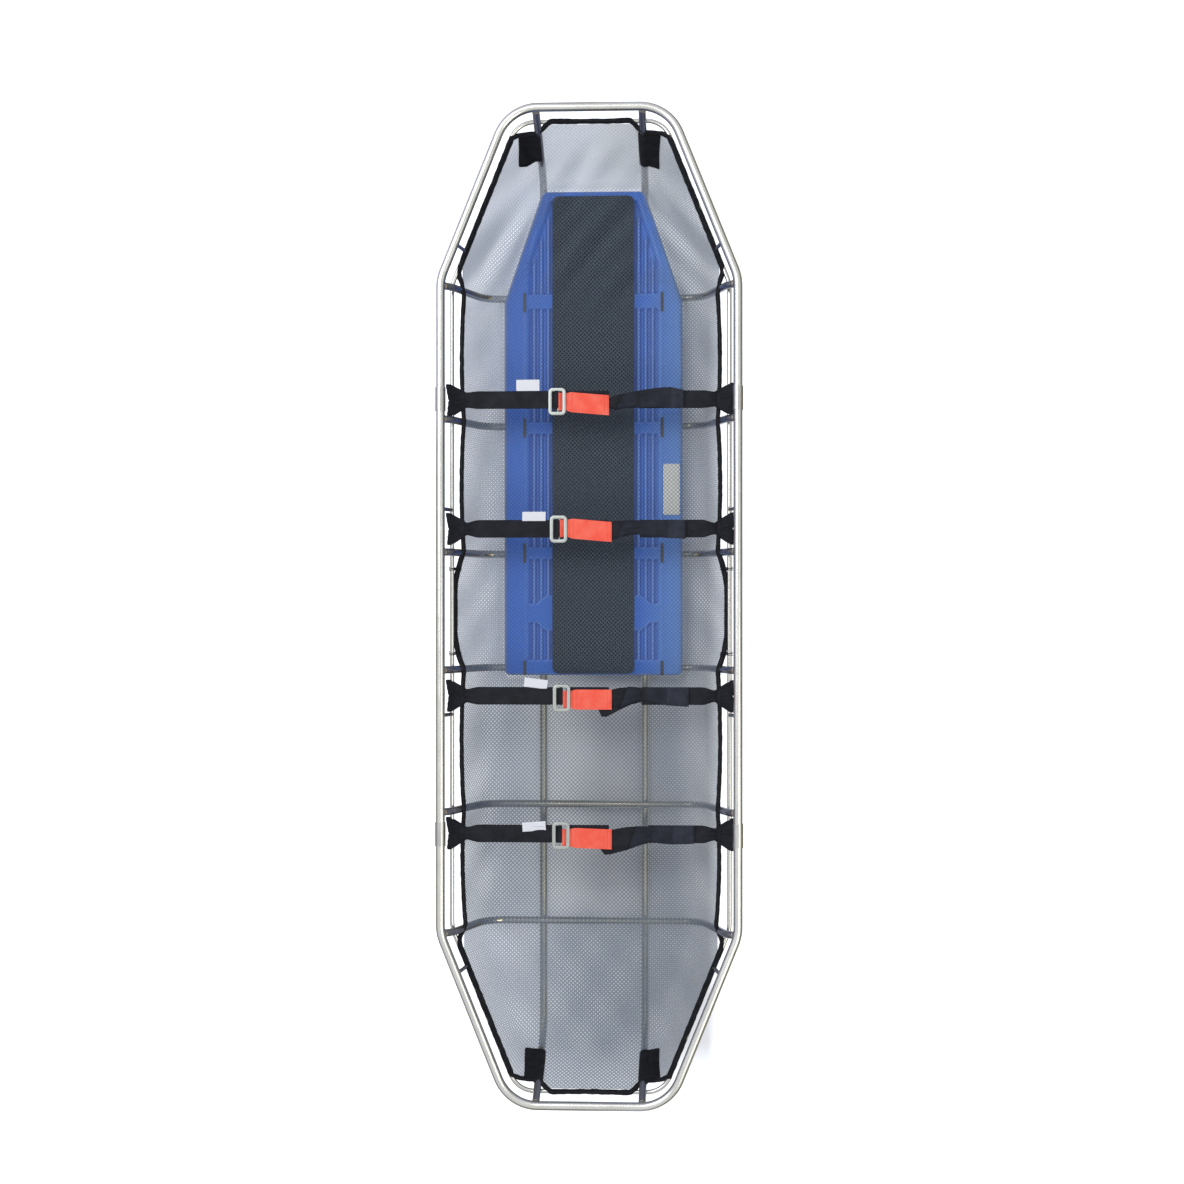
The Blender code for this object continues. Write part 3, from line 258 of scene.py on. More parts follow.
def black_cloth(name, dark, light, roughness, grain):
    """Black sewn cloth with a soft surface; grain is its texture size in metres."""
    material, tree, shader = start_material(name, dark, roughness, gloss=0.15, sheen=(0.06, 0.5))
    place = place_on(tree)
    fuzz = noise(tree, place, 1 / grain, 3.0)
    creased = maths(tree, "MULTIPLY", fuzz, noise(tree, place, 60.0))
    dress(tree, shader, blend(tree, spread(tree, creased, 0.12, 0.42), dark, light),
          bump=(fuzz, grain * 0.5, 0.8))
    return material


def coated_foam():
    """Closed-cell foam pad under a coated cloth: charcoal, matt, with a fine weave."""
    material, tree, shader = start_material("coated_cloth_over_foam", "#232527", 0.8, gloss=0.03)
    place = place_on(tree)
    # Weave of the cover, threads 1.2 mm apart
    weave = add_node(tree, "ShaderNodeTexChecker", {"Vector": place, "Scale": 1 / 0.0012})
    clouds = noise(tree, place, 9.0, 4.0)
    dress(tree, shader, blend(tree, spread(tree, clouds, 0.35, 0.65), "#070708", "#101113"),
          spread(tree, clouds, 0.3, 0.7, 0.62, 0.8), (weave.outputs["Fac"], 0.0002, 0.5))
    return material


def moulded_board():
    """High-density polyethylene board: saturated blue, waxy, with a fine moulded grain.

    The attribute edge is 1 on ridges and edges, which get a painted highlight, and -1 in grooves, which get
    painted shade."""
    material, tree, shader = start_material("moulded_polyethylene_blue", "#2470e4", 0.36, gloss=0.35)
    place = place_on(tree)
    # Scuffs run along the board, where it is slid in and out
    scuffs = noise(tree, scaled(tree, place, (160.0, 9.0, 1.0)), 1.0, 5.0)
    # Scuffs are mixed with painted light: the right side is painted paler than the rest
    painted_light_right = spread(tree, axis_of(tree, place, 0), 0.10, 0.19, 0.04, 0.75)
    tone_mix = maths(tree, "ADD", spread(tree, scuffs, 0.62, 0.78, 0.0, 0.3), painted_light_right)
    blue = blend(tree, noise(tree, place, 12.0, 4.0), "#0064de", "#0a78f4")
    colour = blend(tree, tone_mix, blue, "#7fb4ff")
    # Painted highlight on ridges and edges, painted shade in grooves
    edge = mesh_value(tree, "edge")
    colour = blend(tree, spread(tree, edge, 0.05, 1.0, 0.0, 0.62), colour, "#8cb8ff")
    colour = blend(tree, spread(tree, edge, -0.05, -1.0, 0.0, 0.75), colour, "#123a92")
    grain = noise(tree, place, 700.0)
    dress(tree, shader, colour, spread(tree, scuffs, 0.4, 0.7, 0.33, 0.5), (grain, 0.00015, 0.6))
    return material


def moulded_nylon():
    """Injection-moulded nylon keeper: black, slightly glossy."""
    material, tree, shader = start_material("moulded_nylon_black", "#141518", 0.45)
    grain = noise(tree, place_on(tree), 900.0)
    dress(tree, shader, roughness=spread(tree, grain, 0.3, 0.7, 0.38, 0.55), bump=(grain, 0.0001, 1.0))
    return material


def bare_aluminium():
    """Anodised aluminium plate, brushed lengthwise and left bare."""
    material, tree, shader = start_material("brushed_anodised_aluminium", "#c9cbc8", 0.4, 0.85)
    lines = noise(tree, scaled(tree, place_on(tree), (900.0, 20.0, 1.0)), 1.0, 3.0)
    dress(tree, shader, blend(tree, lines, "#b4b7b2", "#dcdedb"), spread(tree, lines, 0.3, 0.7, 0.3, 0.5))
    return material


def woven_webbing(name, dark, light):
    """Woven polyester webbing: cords across its width 1.6 mm apart, in rows 2.4 mm wide."""
    material, tree, shader = start_material(name, dark, 0.7, gloss=0.15, sheen=(0.05, 0.4))
    cloth = add_node(tree, "ShaderNodeUVMap", uv_map="cloth").outputs[0]
    rows = scaled(tree, cloth, (1 / 0.0016, 1 / 0.0024, 1.0))
    cords = add_node(tree, "ShaderNodeTexVoronoi", {"Vector": rows, "Scale": 1.0, "Randomness": 0.25},
                     voronoi_dimensions="2D").outputs["Distance"]
    tone_mix = maths(tree, "MULTIPLY", cords, noise(tree, place_on(tree), 45.0, 3.0))
    dress(tree, shader, blend(tree, spread(tree, tone_mix, 0.10, 0.32), light, dark),
          bump=(maths(tree, "SUBTRACT", 1.0, cords), 0.0005, 0.8))
    return material


def plated_steel():
    """Stamped steel buckle, zinc plated: pale grey with soft tumbled edges."""
    material, tree, shader = start_material("stamped_zinc_plated_steel", "#9da2a0", 0.42, 0.9)
    tumbled = noise(tree, place_on(tree), 350.0, 3.0)
    dress(tree, shader, blend(tree, tumbled, "#8c9290", "#adb2b0"),
          spread(tree, tumbled, 0.3, 0.7, 0.34, 0.52), (tumbled, 0.00008, 1.0))
    return material


def satin_label():
    """Blank woven satin tag: off-white with a low sheen."""
    material, tree, shader = start_material("woven_satin_tag_blank", "#e6e8ec", 0.6, gloss=0.2)
    inputs = {"Vector": place_on(tree), "Scale": 320.0, "Distortion": 0.6}
    threads = add_node(tree, "ShaderNodeTexWave", inputs).outputs["Fac"]
    dress(tree, shader, blend(tree, threads, "#dfe2e8", "#eceff3"), bump=(threads, 0.0001, 1.0))
    return material


def sewing_thread(name, colour):
    """Bonded polyester thread, a little shinier than the cloth it holds."""
    material, tree, shader = start_material(name, colour, 0.5)
    ply = noise(tree, place_on(tree), 1500.0)
    dress(tree, shader, roughness=spread(tree, ply, 0.3, 0.7, 0.4, 0.65))
    return material


METAL = satin_tube_metal("satin_polished_stainless_tube", ("#c0c0bd", "#d4d5d3"), ("#bfc0bd", "#cfd0cd"),
                         ("#b0afa6", "#c0bfb8"))
# Ribs, runners and stand-offs: the same stainless as the rail, painted darker as painted shade, with a
# painted highlight along the top
SHADED_METAL = satin_tube_metal("stainless_tube_painted_shade", ("#83858f", "#9a9ba6"), ("#6b6b76", "#83838f"),
                              ("#8b8468", "#a29b80"), 0.78, (0.14, 0.24), "#efe9d2")
SLEEVE_METAL = satin_tube_metal("brushed_stainless_sleeve", *[("#a3a4a4", "#bbbbb9")] * 3,
                                smooth=(0.30, 0.42))
WELD = weld_metal()
NET = knit_net()
# Edge binding, folded over the net and sewn, and hook-and-loop tape with its dense matt pile
TAPE = black_cloth("woven_polyester_binding", "#0e0f12", "#212329", 0.8, 0.0012)
LOOP = black_cloth("napped_nylon_loop_tape", "#0e0f12", "#202127", 0.95, 0.0009)
FOAM = coated_foam()
BOARD = moulded_board()
NYLON = moulded_nylon()
PLATE = bare_aluminium()
BLACK_WEBBING = woven_webbing("woven_polyester_webbing_black", "#0f1014", "#25272e")
# Lighter copies of the black webbing: painted light on the raised layers and a painted highlight on the
# rolled fold
BLACK_FOLD_HIGHLIGHT = woven_webbing("woven_polyester_webbing_black_painted_highlight_at_the_fold", "#1c1e25", "#363b47")
BLACK_PAINTED_LIGHTER = woven_webbing("woven_polyester_webbing_black_painted_lighter", "#15171d", "#2a2e39")
RED_WEBBING = woven_webbing("woven_polyester_webbing_red", "#f8503c", "#ff7a66")
STEEL = plated_steel()
LABEL = satin_label()
BLACK_THREAD = sewing_thread("bonded_polyester_thread_black", "#1b1c20")
RED_THREAD = sewing_thread("bonded_polyester_thread_red", "#d8402f")


def smooth_step(low, high, value):
    """0 below low, 1 above high, and a soft rise between; works on arrays too."""
    share = np.clip((value - low) / (high - low), 0.0, 1.0)
    return share * share * (3 - 2 * share)


def new_piece(name, mesh, body=BODY, replaces=()):
    """Link a finished mesh and make it ride on a body."""
    piece = bpy.data.objects.new(name, mesh)
    bpy.context.scene.collection.objects.link(piece)
    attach(piece, body)
    if replaces:
        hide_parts(*replaces)
    return piece


def shade(mesh):
    mesh.shade_smooth()
    mesh.set_sharp_from_angle(angle=math.radians(40))


def joined(name, parts):
    """One mesh from (points, faces, uvs, material) parts; uvs holds one (u, v) for each point."""
    points, faces, uvs, slots, materials = [], [], [], [], []
    for part_points, part_faces, part_uvs, material in parts:
        base = len(points)
        points += [tuple(point) for point in part_points]
        uvs += part_uvs or [(0.0, 0.0)] * len(part_points)
        if material not in materials:
            materials.append(material)
        faces += [tuple(base + index for index in face) for face in part_faces]
        slots += [materials.index(material)] * len(part_faces)
    mesh = bpy.data.meshes.new(name)
    mesh.from_pydata(points, [], faces)
    for material in materials:
        mesh.materials.append(material)
    mesh.polygons.foreach_set("material_index", slots)
    layer = mesh.uv_layers.new(name="cloth")
    corners = np.empty(len(mesh.loops), np.int32)
    mesh.loops.foreach_get("vertex_index", corners)
    layer.data.foreach_set("uv", np.array(uvs, np.float32)[corners].ravel())
    shade(mesh)
    return mesh


def joined_piece(name, parts, body=BODY, replaces=()):
    return new_piece(name, joined(name, parts), body, replaces)


def rounded_path(corners, closed=False):
    """Points of a polyline whose corners, (point, radius), are bent to arcs, a point every 6 degrees."""
    points = []
    count = len(corners)
    for index, (point, radius) in enumerate(corners):
        point = Vector(point)
        if radius == 0 or (not closed and index in (0, count - 1)):
            points.append(point)
            continue
        before = (Vector(corners[index - 1][0]) - point).normalized()
        after = (Vector(corners[(index + 1) % count][0]) - point).normalized()
        half = before.angle(after) / 2
        turn = math.pi - 2 * half
        centre = point + (before + after).normalized() * radius / math.sin(half)
        first = point + before * radius / math.tan(half) - centre
        last = point + after * radius / math.tan(half) - centre
        steps = max(2, math.ceil(turn / math.radians(6)))
        for number in range(steps + 1):
            share = number / steps
            arm = first * math.sin((1 - share) * turn) + last * math.sin(share * turn)
            points.append(centre + arm / math.sin(turn))
    return points


def outline_corners(side_inset, end_inset, diagonal_inset, bends, z):
    """Corners of the rail's outline drawn inwards, all eight, with their bends."""
    run = Vector((END_HALF - RAIL_X, RAIL_END_Y - SHOULDER_Y)).normalized()
    inward = Vector((-run.y, run.x))
    side_x, end_y = RAIL_X - side_inset, RAIL_END_Y - end_inset
    shoulder_y = SHOULDER_Y + (diagonal_inset - (side_x - RAIL_X) * inward.x) / inward.y
    end_x = RAIL_X + (diagonal_inset - (end_y - SHOULDER_Y) * inward.y) / inward.x
    quarter = (((side_x, shoulder_y), bends[0]), ((end_x, end_y), bends[1]))
    corners = []
    for sx, sy in ((1, 1), (-1, 1), (-1, -1), (1, -1)):
        for (x, y), bend in quarter if sx == sy else quarter[::-1]:
            corners.append(((sx * x, sy * y, z), bend))
    return corners


def half_width_at(points, y):
    """Widest X that a closed outline reaches at one Y."""
    reach = 0.0
    for index, point in enumerate(points):
        other = points[index - 1]
        low, high = sorted((point.y, other.y))
        if low <= y <= high and high > low:
            reach = max(reach, other.x + (point.x - other.x) * (y - other.y) / (point.y - other.y))
    return reach


RING_INSETS = (RAIL_X - RING_X, RAIL_END_Y - RING_END_Y, RING_DIAGONAL_INSET)
RAIL_CORNERS = outline_corners(0, 0, 0, (SHOULDER_BEND, END_BEND), RAIL_Z)
RING_CORNERS = outline_corners(*RING_INSETS, RING_BENDS, RING_Z)
RAIL_PATH = rounded_path(RAIL_CORNERS, closed=True)
RING_PATH = rounded_path(RING_CORNERS, closed=True)


def new_tree(name, floats, ints=()):
    """A Geometry Nodes tree that takes a geometry, numbers and a material, as (tree, its inputs)."""
    tree = bpy.data.node_groups.new(name, "GeometryNodeTree")
    kinds = {"Geometry": "Geometry", **dict.fromkeys(floats, "Float"), **dict.fromkeys(ints, "Int"),
             "Material": "Material"}
    for label, kind in kinds.items():
        tree.interface.new_socket(label, in_out="INPUT", socket_type="NodeSocket" + kind)
    tree.interface.new_socket("Geometry", in_out="OUTPUT", socket_type="NodeSocketGeometry")
    given = tree.nodes.new("NodeGroupInput")
    return tree, {label: given.outputs[label] for label in kinds}


def end_tree(tree, geometry, given):
    """Realize Instances and Set Material, as every tree ends."""
    real = add_node(tree, "GeometryNodeRealizeInstances", {0: geometry})
    painted = add_node(tree, "GeometryNodeSetMaterial", {"Geometry": real.outputs[0],
                                                         "Material": given["Material"]})
    add_node(tree, "NodeGroupOutput", {0: painted.outputs[0]})
    return tree


def point_value(tree, name, kind="FLOAT"):
    """Socket of an attribute that the base mesh keeps at each point."""
    return add_node(tree, "GeometryNodeInputNamedAttribute", {"Name": name}, data_type=kind).outputs[0]


def base_curve(tree, given):
    return add_node(tree, "GeometryNodeMeshToCurve", {"Mesh": given["Geometry"]}).outputs[0]


def base_points(tree, given):
    return add_node(tree, "GeometryNodeMeshToPoints", {"Mesh": given["Geometry"]}).outputs[0]


def circle(tree, sides, radius):
    inputs = {"Resolution": sides, "Radius": radius}
    return add_node(tree, "GeometryNodeCurvePrimitiveCircle", inputs, mode="RADIUS").outputs[0]


def rounded_rectangle(tree, width, height, radius, steps):
    sides = {"Width": width, "Height": height}
    outline = add_node(tree, "GeometryNodeCurvePrimitiveQuadrilateral", sides).outputs[0]
    return bent_corners(tree, outline, radius, steps)


def bent_corners(tree, curve, radius, steps):
    inputs = {"Curve": curve, "Radius": radius, "Count": steps}
    return add_node(tree, "GeometryNodeFilletCurve", inputs, mode="POLY").outputs[0]


def stored(tree, geometry, name, value):
    """The geometry with a number kept at each point."""
    inputs = {"Geometry": geometry, "Name": name, "Value": value}
    return add_node(tree, "GeometryNodeStoreNamedAttribute", inputs, data_type="FLOAT",
                    domain="POINT").outputs[0]


def swept(tree, curve, profile, more=None):
    """A profile swept along a curve; more holds further inputs."""
    inputs = {"Curve": curve, "Profile Curve": profile, **(more or {})}
    return add_node(tree, "GeometryNodeCurveToMesh", inputs).outputs[0]


def facing(tree, direction):
    """Rotation that turns Z to a direction."""
    return add_node(tree, "FunctionNodeAlignEulerToVector", {"Vector": direction}, axis="Z").outputs[0]


def copies(tree, points, instance, more=None):
    """An instance on each point; more may hold Rotation and Scale."""
    inputs = {"Points": points, "Instance": instance, **(more or {})}
    return add_node(tree, "GeometryNodeInstanceOnPoints", inputs).outputs[0]


def grown(name, base, tree, values):
    """The plain mesh that a tree makes of a base mesh."""
    carrier = bpy.data.objects.new(name + "_base", base)
    bpy.context.scene.collection.objects.link(carrier)
    modifier = carrier.modifiers.new("grow", "NODES")
    modifier.node_group = tree
    for item in tree.interface.items_tree:
        if item.in_out == "INPUT" and item.name in values:
            modifier[item.identifier] = values[item.name]
    view = bpy.context.evaluated_depsgraph_get()
    view.update()
    mesh = bpy.data.meshes.new_from_object(carrier.evaluated_get(view), depsgraph=view)
    mesh.name = name
    carrier.modifiers.clear()
    bpy.data.objects.remove(carrier, do_unlink=True)
    shade(mesh)
    return mesh


def path_mesh(name, runs, closed=False, **attributes):
    """Polylines as a mesh of edges; each attribute holds one number or vector for each point."""
    points, edges = [], []
    for run in runs:
        first = len(points)
        points += [tuple(point) for point in run]
        edges += [(index, index + 1) for index in range(first, len(points) - 1)]
        if closed:
            edges.append((len(points) - 1, first))
    mesh = bpy.data.meshes.new(name)
    mesh.from_pydata(points, edges, [])
    for label, values in attributes.items():
        if isinstance(values[0], Vector):
            ways = mesh.attributes.new(label, "FLOAT_VECTOR", "POINT")
            ways.data.foreach_set("vector", [value for way in values for value in way])
        else:
            mesh.attributes.new(label, "FLOAT", "POINT").data.foreach_set("value", values)
    return mesh


def grown_piece(name, base, tree, values, body=BODY, replaces=()):
    return new_piece(name, grown(name, base, tree, values), body, replaces)


def tube_tree():
    """Tube bent along each polyline, with a bend radius at each corner."""
    tree, given = new_tree("tube_along_path", ["Diameter"], ["Sides", "Bend Steps"])
    bent = bent_corners(tree, base_curve(tree, given), point_value(tree, "bend"), given["Bend Steps"])
    way = add_node(tree, "GeometryNodeSplineParameter")
    path = stored(tree, bent, "run", way.outputs["Length"])
    section = circle(tree, given["Sides"], maths(tree, "MULTIPLY", given["Diameter"], 0.5))
    around = add_node(tree, "GeometryNodeSplineParameter")
    section = stored(tree, section, "turn", around.outputs["Factor"])
    return end_tree(tree, swept(tree, path, section, {"Fill Caps": True}), given)


TUBES = tube_tree()


def tubes(name, runs, diameter, nodes, closed=False, sides=24, metal=METAL):
    """Piece of tubes along runs of ((x, y, z), bend) corners, standing for CAD nodes."""
    base = path_mesh(name, [[point for point, bend in run] for run in runs], closed,
                     bend=[bend for run in runs for point, bend in run])
    values = {"Diameter": diameter, "Sides": sides, "Bend Steps": 12, "Material": metal}
    return grown_piece(name, base, TUBES, values, replaces=nodes)


def rib_shift(y):
    """How far a rib near the shoulder is drawn in, so that it stays inside the ring."""
    return RING_X - half_width_at(RING_PATH, abs(y) + RIB_OD / 2 / math.cos(math.pi / 12))


def rib_run(y):
    shift = rib_shift(y)
    top_x = RIB_CORNER_X + (RIB_DEPTH - RIB_TOP_DROP) * math.tan(RIB_LEAN) - shift
    half = [((half_width_at(RAIL_PATH, abs(y)), y, RAIL_Z), 0.0),
            ((top_x, y, RAIL_Z - RIB_TOP_DROP), RIB_TOP_BEND),
            ((RIB_CORNER_X - shift, y, RIB_Z), RIB_BEND)]
    return half + [((-x, y, z), bend) for (x, y, z), bend in reversed(half)]


def runner_run(x):
    half = [((x, RAIL_END_Y, RAIL_Z), 0.0), ((x, RUNNER_CORNER_Y, RUNNER_Z), RUNNER_BEND)]
    return half + [((x, -y, z), bend) for (x, y, z), bend in reversed(half)]


def standoff_runs():
    run = Vector((END_HALF - RAIL_X, RAIL_END_Y - SHOULDER_Y)).normalized()
    runs = []
    for index, y in enumerate(STANDOFF_YS):
        way = math.copysign(1, y)
        inward = Vector((-1, 0)) if index < 2 else Vector((-run.y, way * run.x))
        inset = RING_INSETS[0] if index < 2 else RING_DIAGONAL_INSET
        top = Vector((half_width_at(RAIL_PATH, y), y, RAIL_Z))
        low = Vector((top.x + inward.x * inset, y + inward.y * inset, RING_Z))
        for sign in (-1, 1):
            runs.append([((sign * low.x, low.y, low.z), 0.0), ((sign * top.x, top.y, top.z), 0.0)])
    return runs


def make_frame():
    ends, sides = ("head", "foot"), ("left", "right")
    tubes("rail_tube", [RAIL_CORNERS], RAIL_OD,
          ["rail_head_bend", "rail_foot_bend", "rail_left_side", "rail_right_side"], closed=True, sides=32)
    half = SLEEVE_LENGTH / 2
    sleeves = [[((x, y + step, RAIL_Z), 0.0) for step in (-half, half)]
               for x in (-RAIL_X, RAIL_X) for y in SLEEVE_YS]
    names = ["sleeve_%s_%s" % (end, side) for end in ends for side in sides]
    tubes("rail_sleeves", sleeves, SLEEVE_OD, names, sides=32, metal=SLEEVE_METAL)
    tubes("middle_ring", [RING_CORNERS], RING_OD, ["middle_rail"], closed=True, sides=20)
    tubes("rib_tubes", [rib_run(y) for y in RIB_YS], RIB_OD, ["rib_%d" % number for number in range(1, 7)],
          metal=SHADED_METAL)
    tubes("runner_tubes", [runner_run(x) for x in (-RUNNER_X, RUNNER_X)], RUNNER_OD,
          ["runner_left", "runner_right"], metal=SHADED_METAL)
    tubes("standoff_rods", standoff_runs(), STANDOFF_OD, ["standoff_%d" % number for number in range(1, 9)],
          sides=16, metal=SHADED_METAL)


def bead_tree():
    """Weld bead: a ring round each point, square to its direction."""
    tree, given = new_tree("weld_beads", ["Bead"], ["Sides"])
    bead = swept(tree, circle(tree, given["Sides"], 1.0), circle(tree, 8, given["Bead"]))
    turned = facing(tree, point_value(tree, "axis", "FLOAT_VECTOR"))
    placed = copies(tree, base_points(tree, given), bead, {"Rotation": turned,
                                                           "Scale": point_value(tree, "size")})
    return end_tree(tree, placed, given)


def make_welds():
    """Fillets where ribs, runners and stand-offs meet the rail and the ring."""
    spots = []
    for run in standoff_runs():
        low, top = Vector(run[0][0]), Vector(run[1][0])
        way = (top - low).normalized()
        spots.append((low + way * RING_OD * 0.46, way, STANDOFF_OD / 2))
        spots.append((top - way * RAIL_OD * 0.46, way, STANDOFF_OD / 2))
    runs = [(rib_run(y), RIB_OD) for y in RIB_YS]
    runs += [(runner_run(x), RUNNER_OD) for x in (-RUNNER_X, RUNNER_X)]
    for run, diameter in runs:
        corners = [Vector(point) for point, bend in run]
        for top, below in ((corners[0], corners[1]), (corners[-1], corners[-2])):
            way = (top - below).normalized()
            spots.append((top - way * RAIL_OD * 0.49, way, diameter / 2))
    places, ways, sizes = zip(*spots)
    base = path_mesh("weld_beads", [[place] for place in places], size=list(sizes), axis=list(ways))
    grown_piece("weld_beads", base, bead_tree(), {"Bead": 0.16, "Sides": 24, "Material": WELD})


make_frame()
make_welds()


def corner_cut(y, low, high, radius):
    """How far a rounded corner draws a side in at one Y, between two ends."""
    short = np.clip(radius - np.minimum(high - y, y - low), 0.0, radius)
    return radius - np.sqrt(radius ** 2 - short ** 2)


def board_half_at(y):
    """Half width of the board at one Y, with its taper and rounded corners."""
    share = np.clip((y - BOARD_SHOULDER_Y) / (BOARD_HEAD_Y - BOARD_SHOULDER_Y), 0.0, 1.0)
    half = BOARD_HALF + (BOARD_HEAD_HALF - BOARD_HALF) * share
    return half - corner_cut(y, BOARD_FOOT_Y, BOARD_HEAD_Y, BOARD_CORNER)


def board_height(x, y):
    """Top surface of the moulded board: recessed panels with three ridges, and a soft rim."""
    across = np.abs(x)
    half = board_half_at(y)
    outer = np.minimum(0.147, half - 0.020)
    slant = 0.018 * smooth_step(0.100, 0.130, across)
    spans = ((0.686, 0.898, 0.0, 0.0), (0.404, 0.660, 0.0, 0.0), (0.128, 0.384, 0.0, 0.0),
             (0.022, 0.108, -1.0, 0.0), (-0.120, -0.050, 0.0, 1.0))
    panel = np.zeros_like(x)
    for low, high, low_slant, high_slant in spans:
        start = low + low_slant * slant
        end = high + high_slant * slant
        rise = smooth_step(start, start + 0.007, y) * (1 - smooth_step(end - 0.007, end, y))
        panel = np.maximum(panel, rise)
    panel = panel * smooth_step(0.0885, 0.0925, across) * (1 - smooth_step(outer - 0.009, outer, across))
    ridges = np.zeros_like(x)
    for ridge in (0.1000, 0.1155, 0.1310):
        inside = smooth_step(0.004, 0.012, outer - ridge - 0.004)
        ridges = np.maximum(ridges, inside * (1 - smooth_step(0.0010, 0.0050, np.abs(across - ridge))))
    lip = 1 - smooth_step(0.0, 0.0035, np.abs(across - outer - 0.003))
    height = BOARD_TOP - 0.0062 * panel + 0.0050 * panel * ridges + 0.0008 * lip
    edge = np.minimum(half - across, np.minimum(BOARD_HEAD_Y - y, y - BOARD_FOOT_Y))
    return height - corner_cut(edge, 0.0, np.inf, BOARD_EDGE_ROUND)


def relief_slab(name, half_at, columns, rows, height, floor, material):
    """Closed slab with a relief on top: a grid of shares across, rows along Y and a flat underside."""
    shares = np.array(columns)
    grid_y = np.repeat(np.array(rows)[:, None], len(shares), axis=1)
    grid_x = shares[None, :] * half_at(grid_y)
    grid_z = height(grid_x, grid_y)
    count_y, count_x = grid_x.shape
    points = np.stack([grid_x, grid_y, grid_z], axis=-1).reshape(-1, 3).tolist()
    faces = []
    for row in range(count_y - 1):
        base = row * count_x
        faces += [(base + column, base + column + 1, base + column + 1 + count_x, base + column + count_x)
                  for column in range(count_x - 1)]
    rim = list(range(count_x - 1)) + [row * count_x + count_x - 1 for row in range(count_y - 1)]
    rim += [(count_y - 1) * count_x + c for c in range(count_x - 1, 0, -1)]
    rim += [row * count_x for row in range(count_y - 1, 0, -1)]
    low_ring = []
    for index in rim:
        low_ring.append(len(points))
        points.append([points[index][0], points[index][1], floor])
    for place, index in enumerate(rim):
        after = (place + 1) % len(rim)
        faces.append((rim[after], index, low_ring[place], low_ring[after]))
    faces.append(tuple(reversed(low_ring)))
    mesh = joined(name, [(points, faces, None, material)])
    # A place is an edge where it stands above the mean of its surroundings, and a groove where it lies below;
    # the board paints a highlight on edges and shade in grooves
    reach = 0.0028
    around = (height(grid_x + reach, grid_y) + height(grid_x - reach, grid_y)
              + height(grid_x, grid_y + reach) + height(grid_x, grid_y - reach)) / 4
    edge = np.zeros(len(points), np.float32)
    edge[:grid_z.size] = np.clip((grid_z - around) / 0.0010, -1.0, 1.0).ravel()
    mesh.attributes.new("edge", "FLOAT", "POINT").data.foreach_set("value", edge)
    return mesh


def steps_between(stops):
    """Values from one stop to the next, ((start, step), (next start, step), ..., (end, 0))."""
    values = []
    for (start, step), (end, unused) in zip(stops, stops[1:]):
        count = max(1, round((end - start) / step))
        values += [start + (end - start) * number / count for number in range(count)]
    return values + [stops[-1][0]]


def both_sides(half, *stops):
    """Places across a slab as shares of its half width, spaced from the middle out as stops say."""
    side = steps_between((*stops, (half, 0)))
    return [-value / half for value in reversed(side[1:])] + [value / half for value in side]


def make_board():
    columns = both_sides(BOARD_HALF, (0.0, 0.010), (0.084, 0.0014), (0.154, 0.005), (0.190, 0.0011))
    rows = steps_between(((BOARD_FOOT_Y, 0.0011), (BOARD_FOOT_Y + 0.012, 0.0030),
                          (BOARD_HEAD_Y - 0.012, 0.0011), (BOARD_HEAD_Y, 0)))
    mesh = relief_slab("moulded_board", board_half_at, columns, rows, board_height, BOARD_Z, BOARD)
    new_piece("moulded_board", mesh, replaces=["back_board"])


def pad_half_at(y):
    return PAD_HALF - corner_cut(y, PAD_FOOT_Y, PAD_HEAD_Y, PAD_CORNER)


def pad_height(x, y):
    """Foam pad: soft rounded rim and shallow dents."""
    edge = np.minimum(pad_half_at(y) - np.abs(x), np.minimum(PAD_HEAD_Y - y, y - PAD_FOOT_Y))
    dents = 0.0003 * np.sin(31 * y + 9 * x) * np.sin(17 * y - 40 * x)
    fall = 1 - smooth_step(-0.002, 0.010, edge)
    return PAD_TOP - 0.0004 + dents - 0.0045 * fall


def make_pad():
    columns = both_sides(PAD_HALF, (0.0, 0.006), (0.078, 0.0015))
    rows = steps_between(((PAD_FOOT_Y, 0.0015), (PAD_FOOT_Y + 0.015, 0.006), (PAD_HEAD_Y - 0.015, 0.0015),
                          (PAD_HEAD_Y, 0)))
    mesh = relief_slab("foam_pad", pad_half_at, columns, rows, pad_height, PAD_Z, FOAM)
    pad = new_piece("foam_pad", mesh, replaces=["board_pad"])


make_board()
make_pad()


def net_floor(x, y):
    """Height of the net's bed: over the ribs, sagging between them, and up over the board and pad."""
    across = np.abs(x)
    sag = np.zeros_like(x)
    for above, below in zip(RIB_YS, RIB_YS[1:]):
        share = np.clip((y - below) / (above - below), 0.0, 1.0)
        sag = np.maximum(sag, 0.006 * np.sin(np.pi * share) ** 2)
    height = NET_FLOOR - sag
    edge = np.minimum((board_half_at(np.clip(y, BOARD_FOOT_Y, BOARD_HEAD_Y)) - across),
                      np.minimum(BOARD_HEAD_Y - y, y - BOARD_FOOT_Y))
    board = smooth_step(-0.024, 0.0, edge)
    height = height * (1 - board) + (BOARD_TOP + 0.0016) * board
    edge = np.minimum(PAD_HALF - across, np.minimum(PAD_HEAD_Y - y, y - PAD_FOOT_Y))
    pad = smooth_step(-0.010, 0.0, edge)
    return height * (1 - pad) + (PAD_TOP + 0.0008) * pad


HEM_INSET = RING_OD / 2 + 2 * GAP
HEM_PATH = rounded_path(outline_corners(*[value + HEM_INSET for value in RING_INSETS],
                                        (RING_BENDS[0], RING_BENDS[1] - HEM_INSET), RING_Z), closed=True)
HEM_END_Y = max(point.y for point in HEM_PATH)


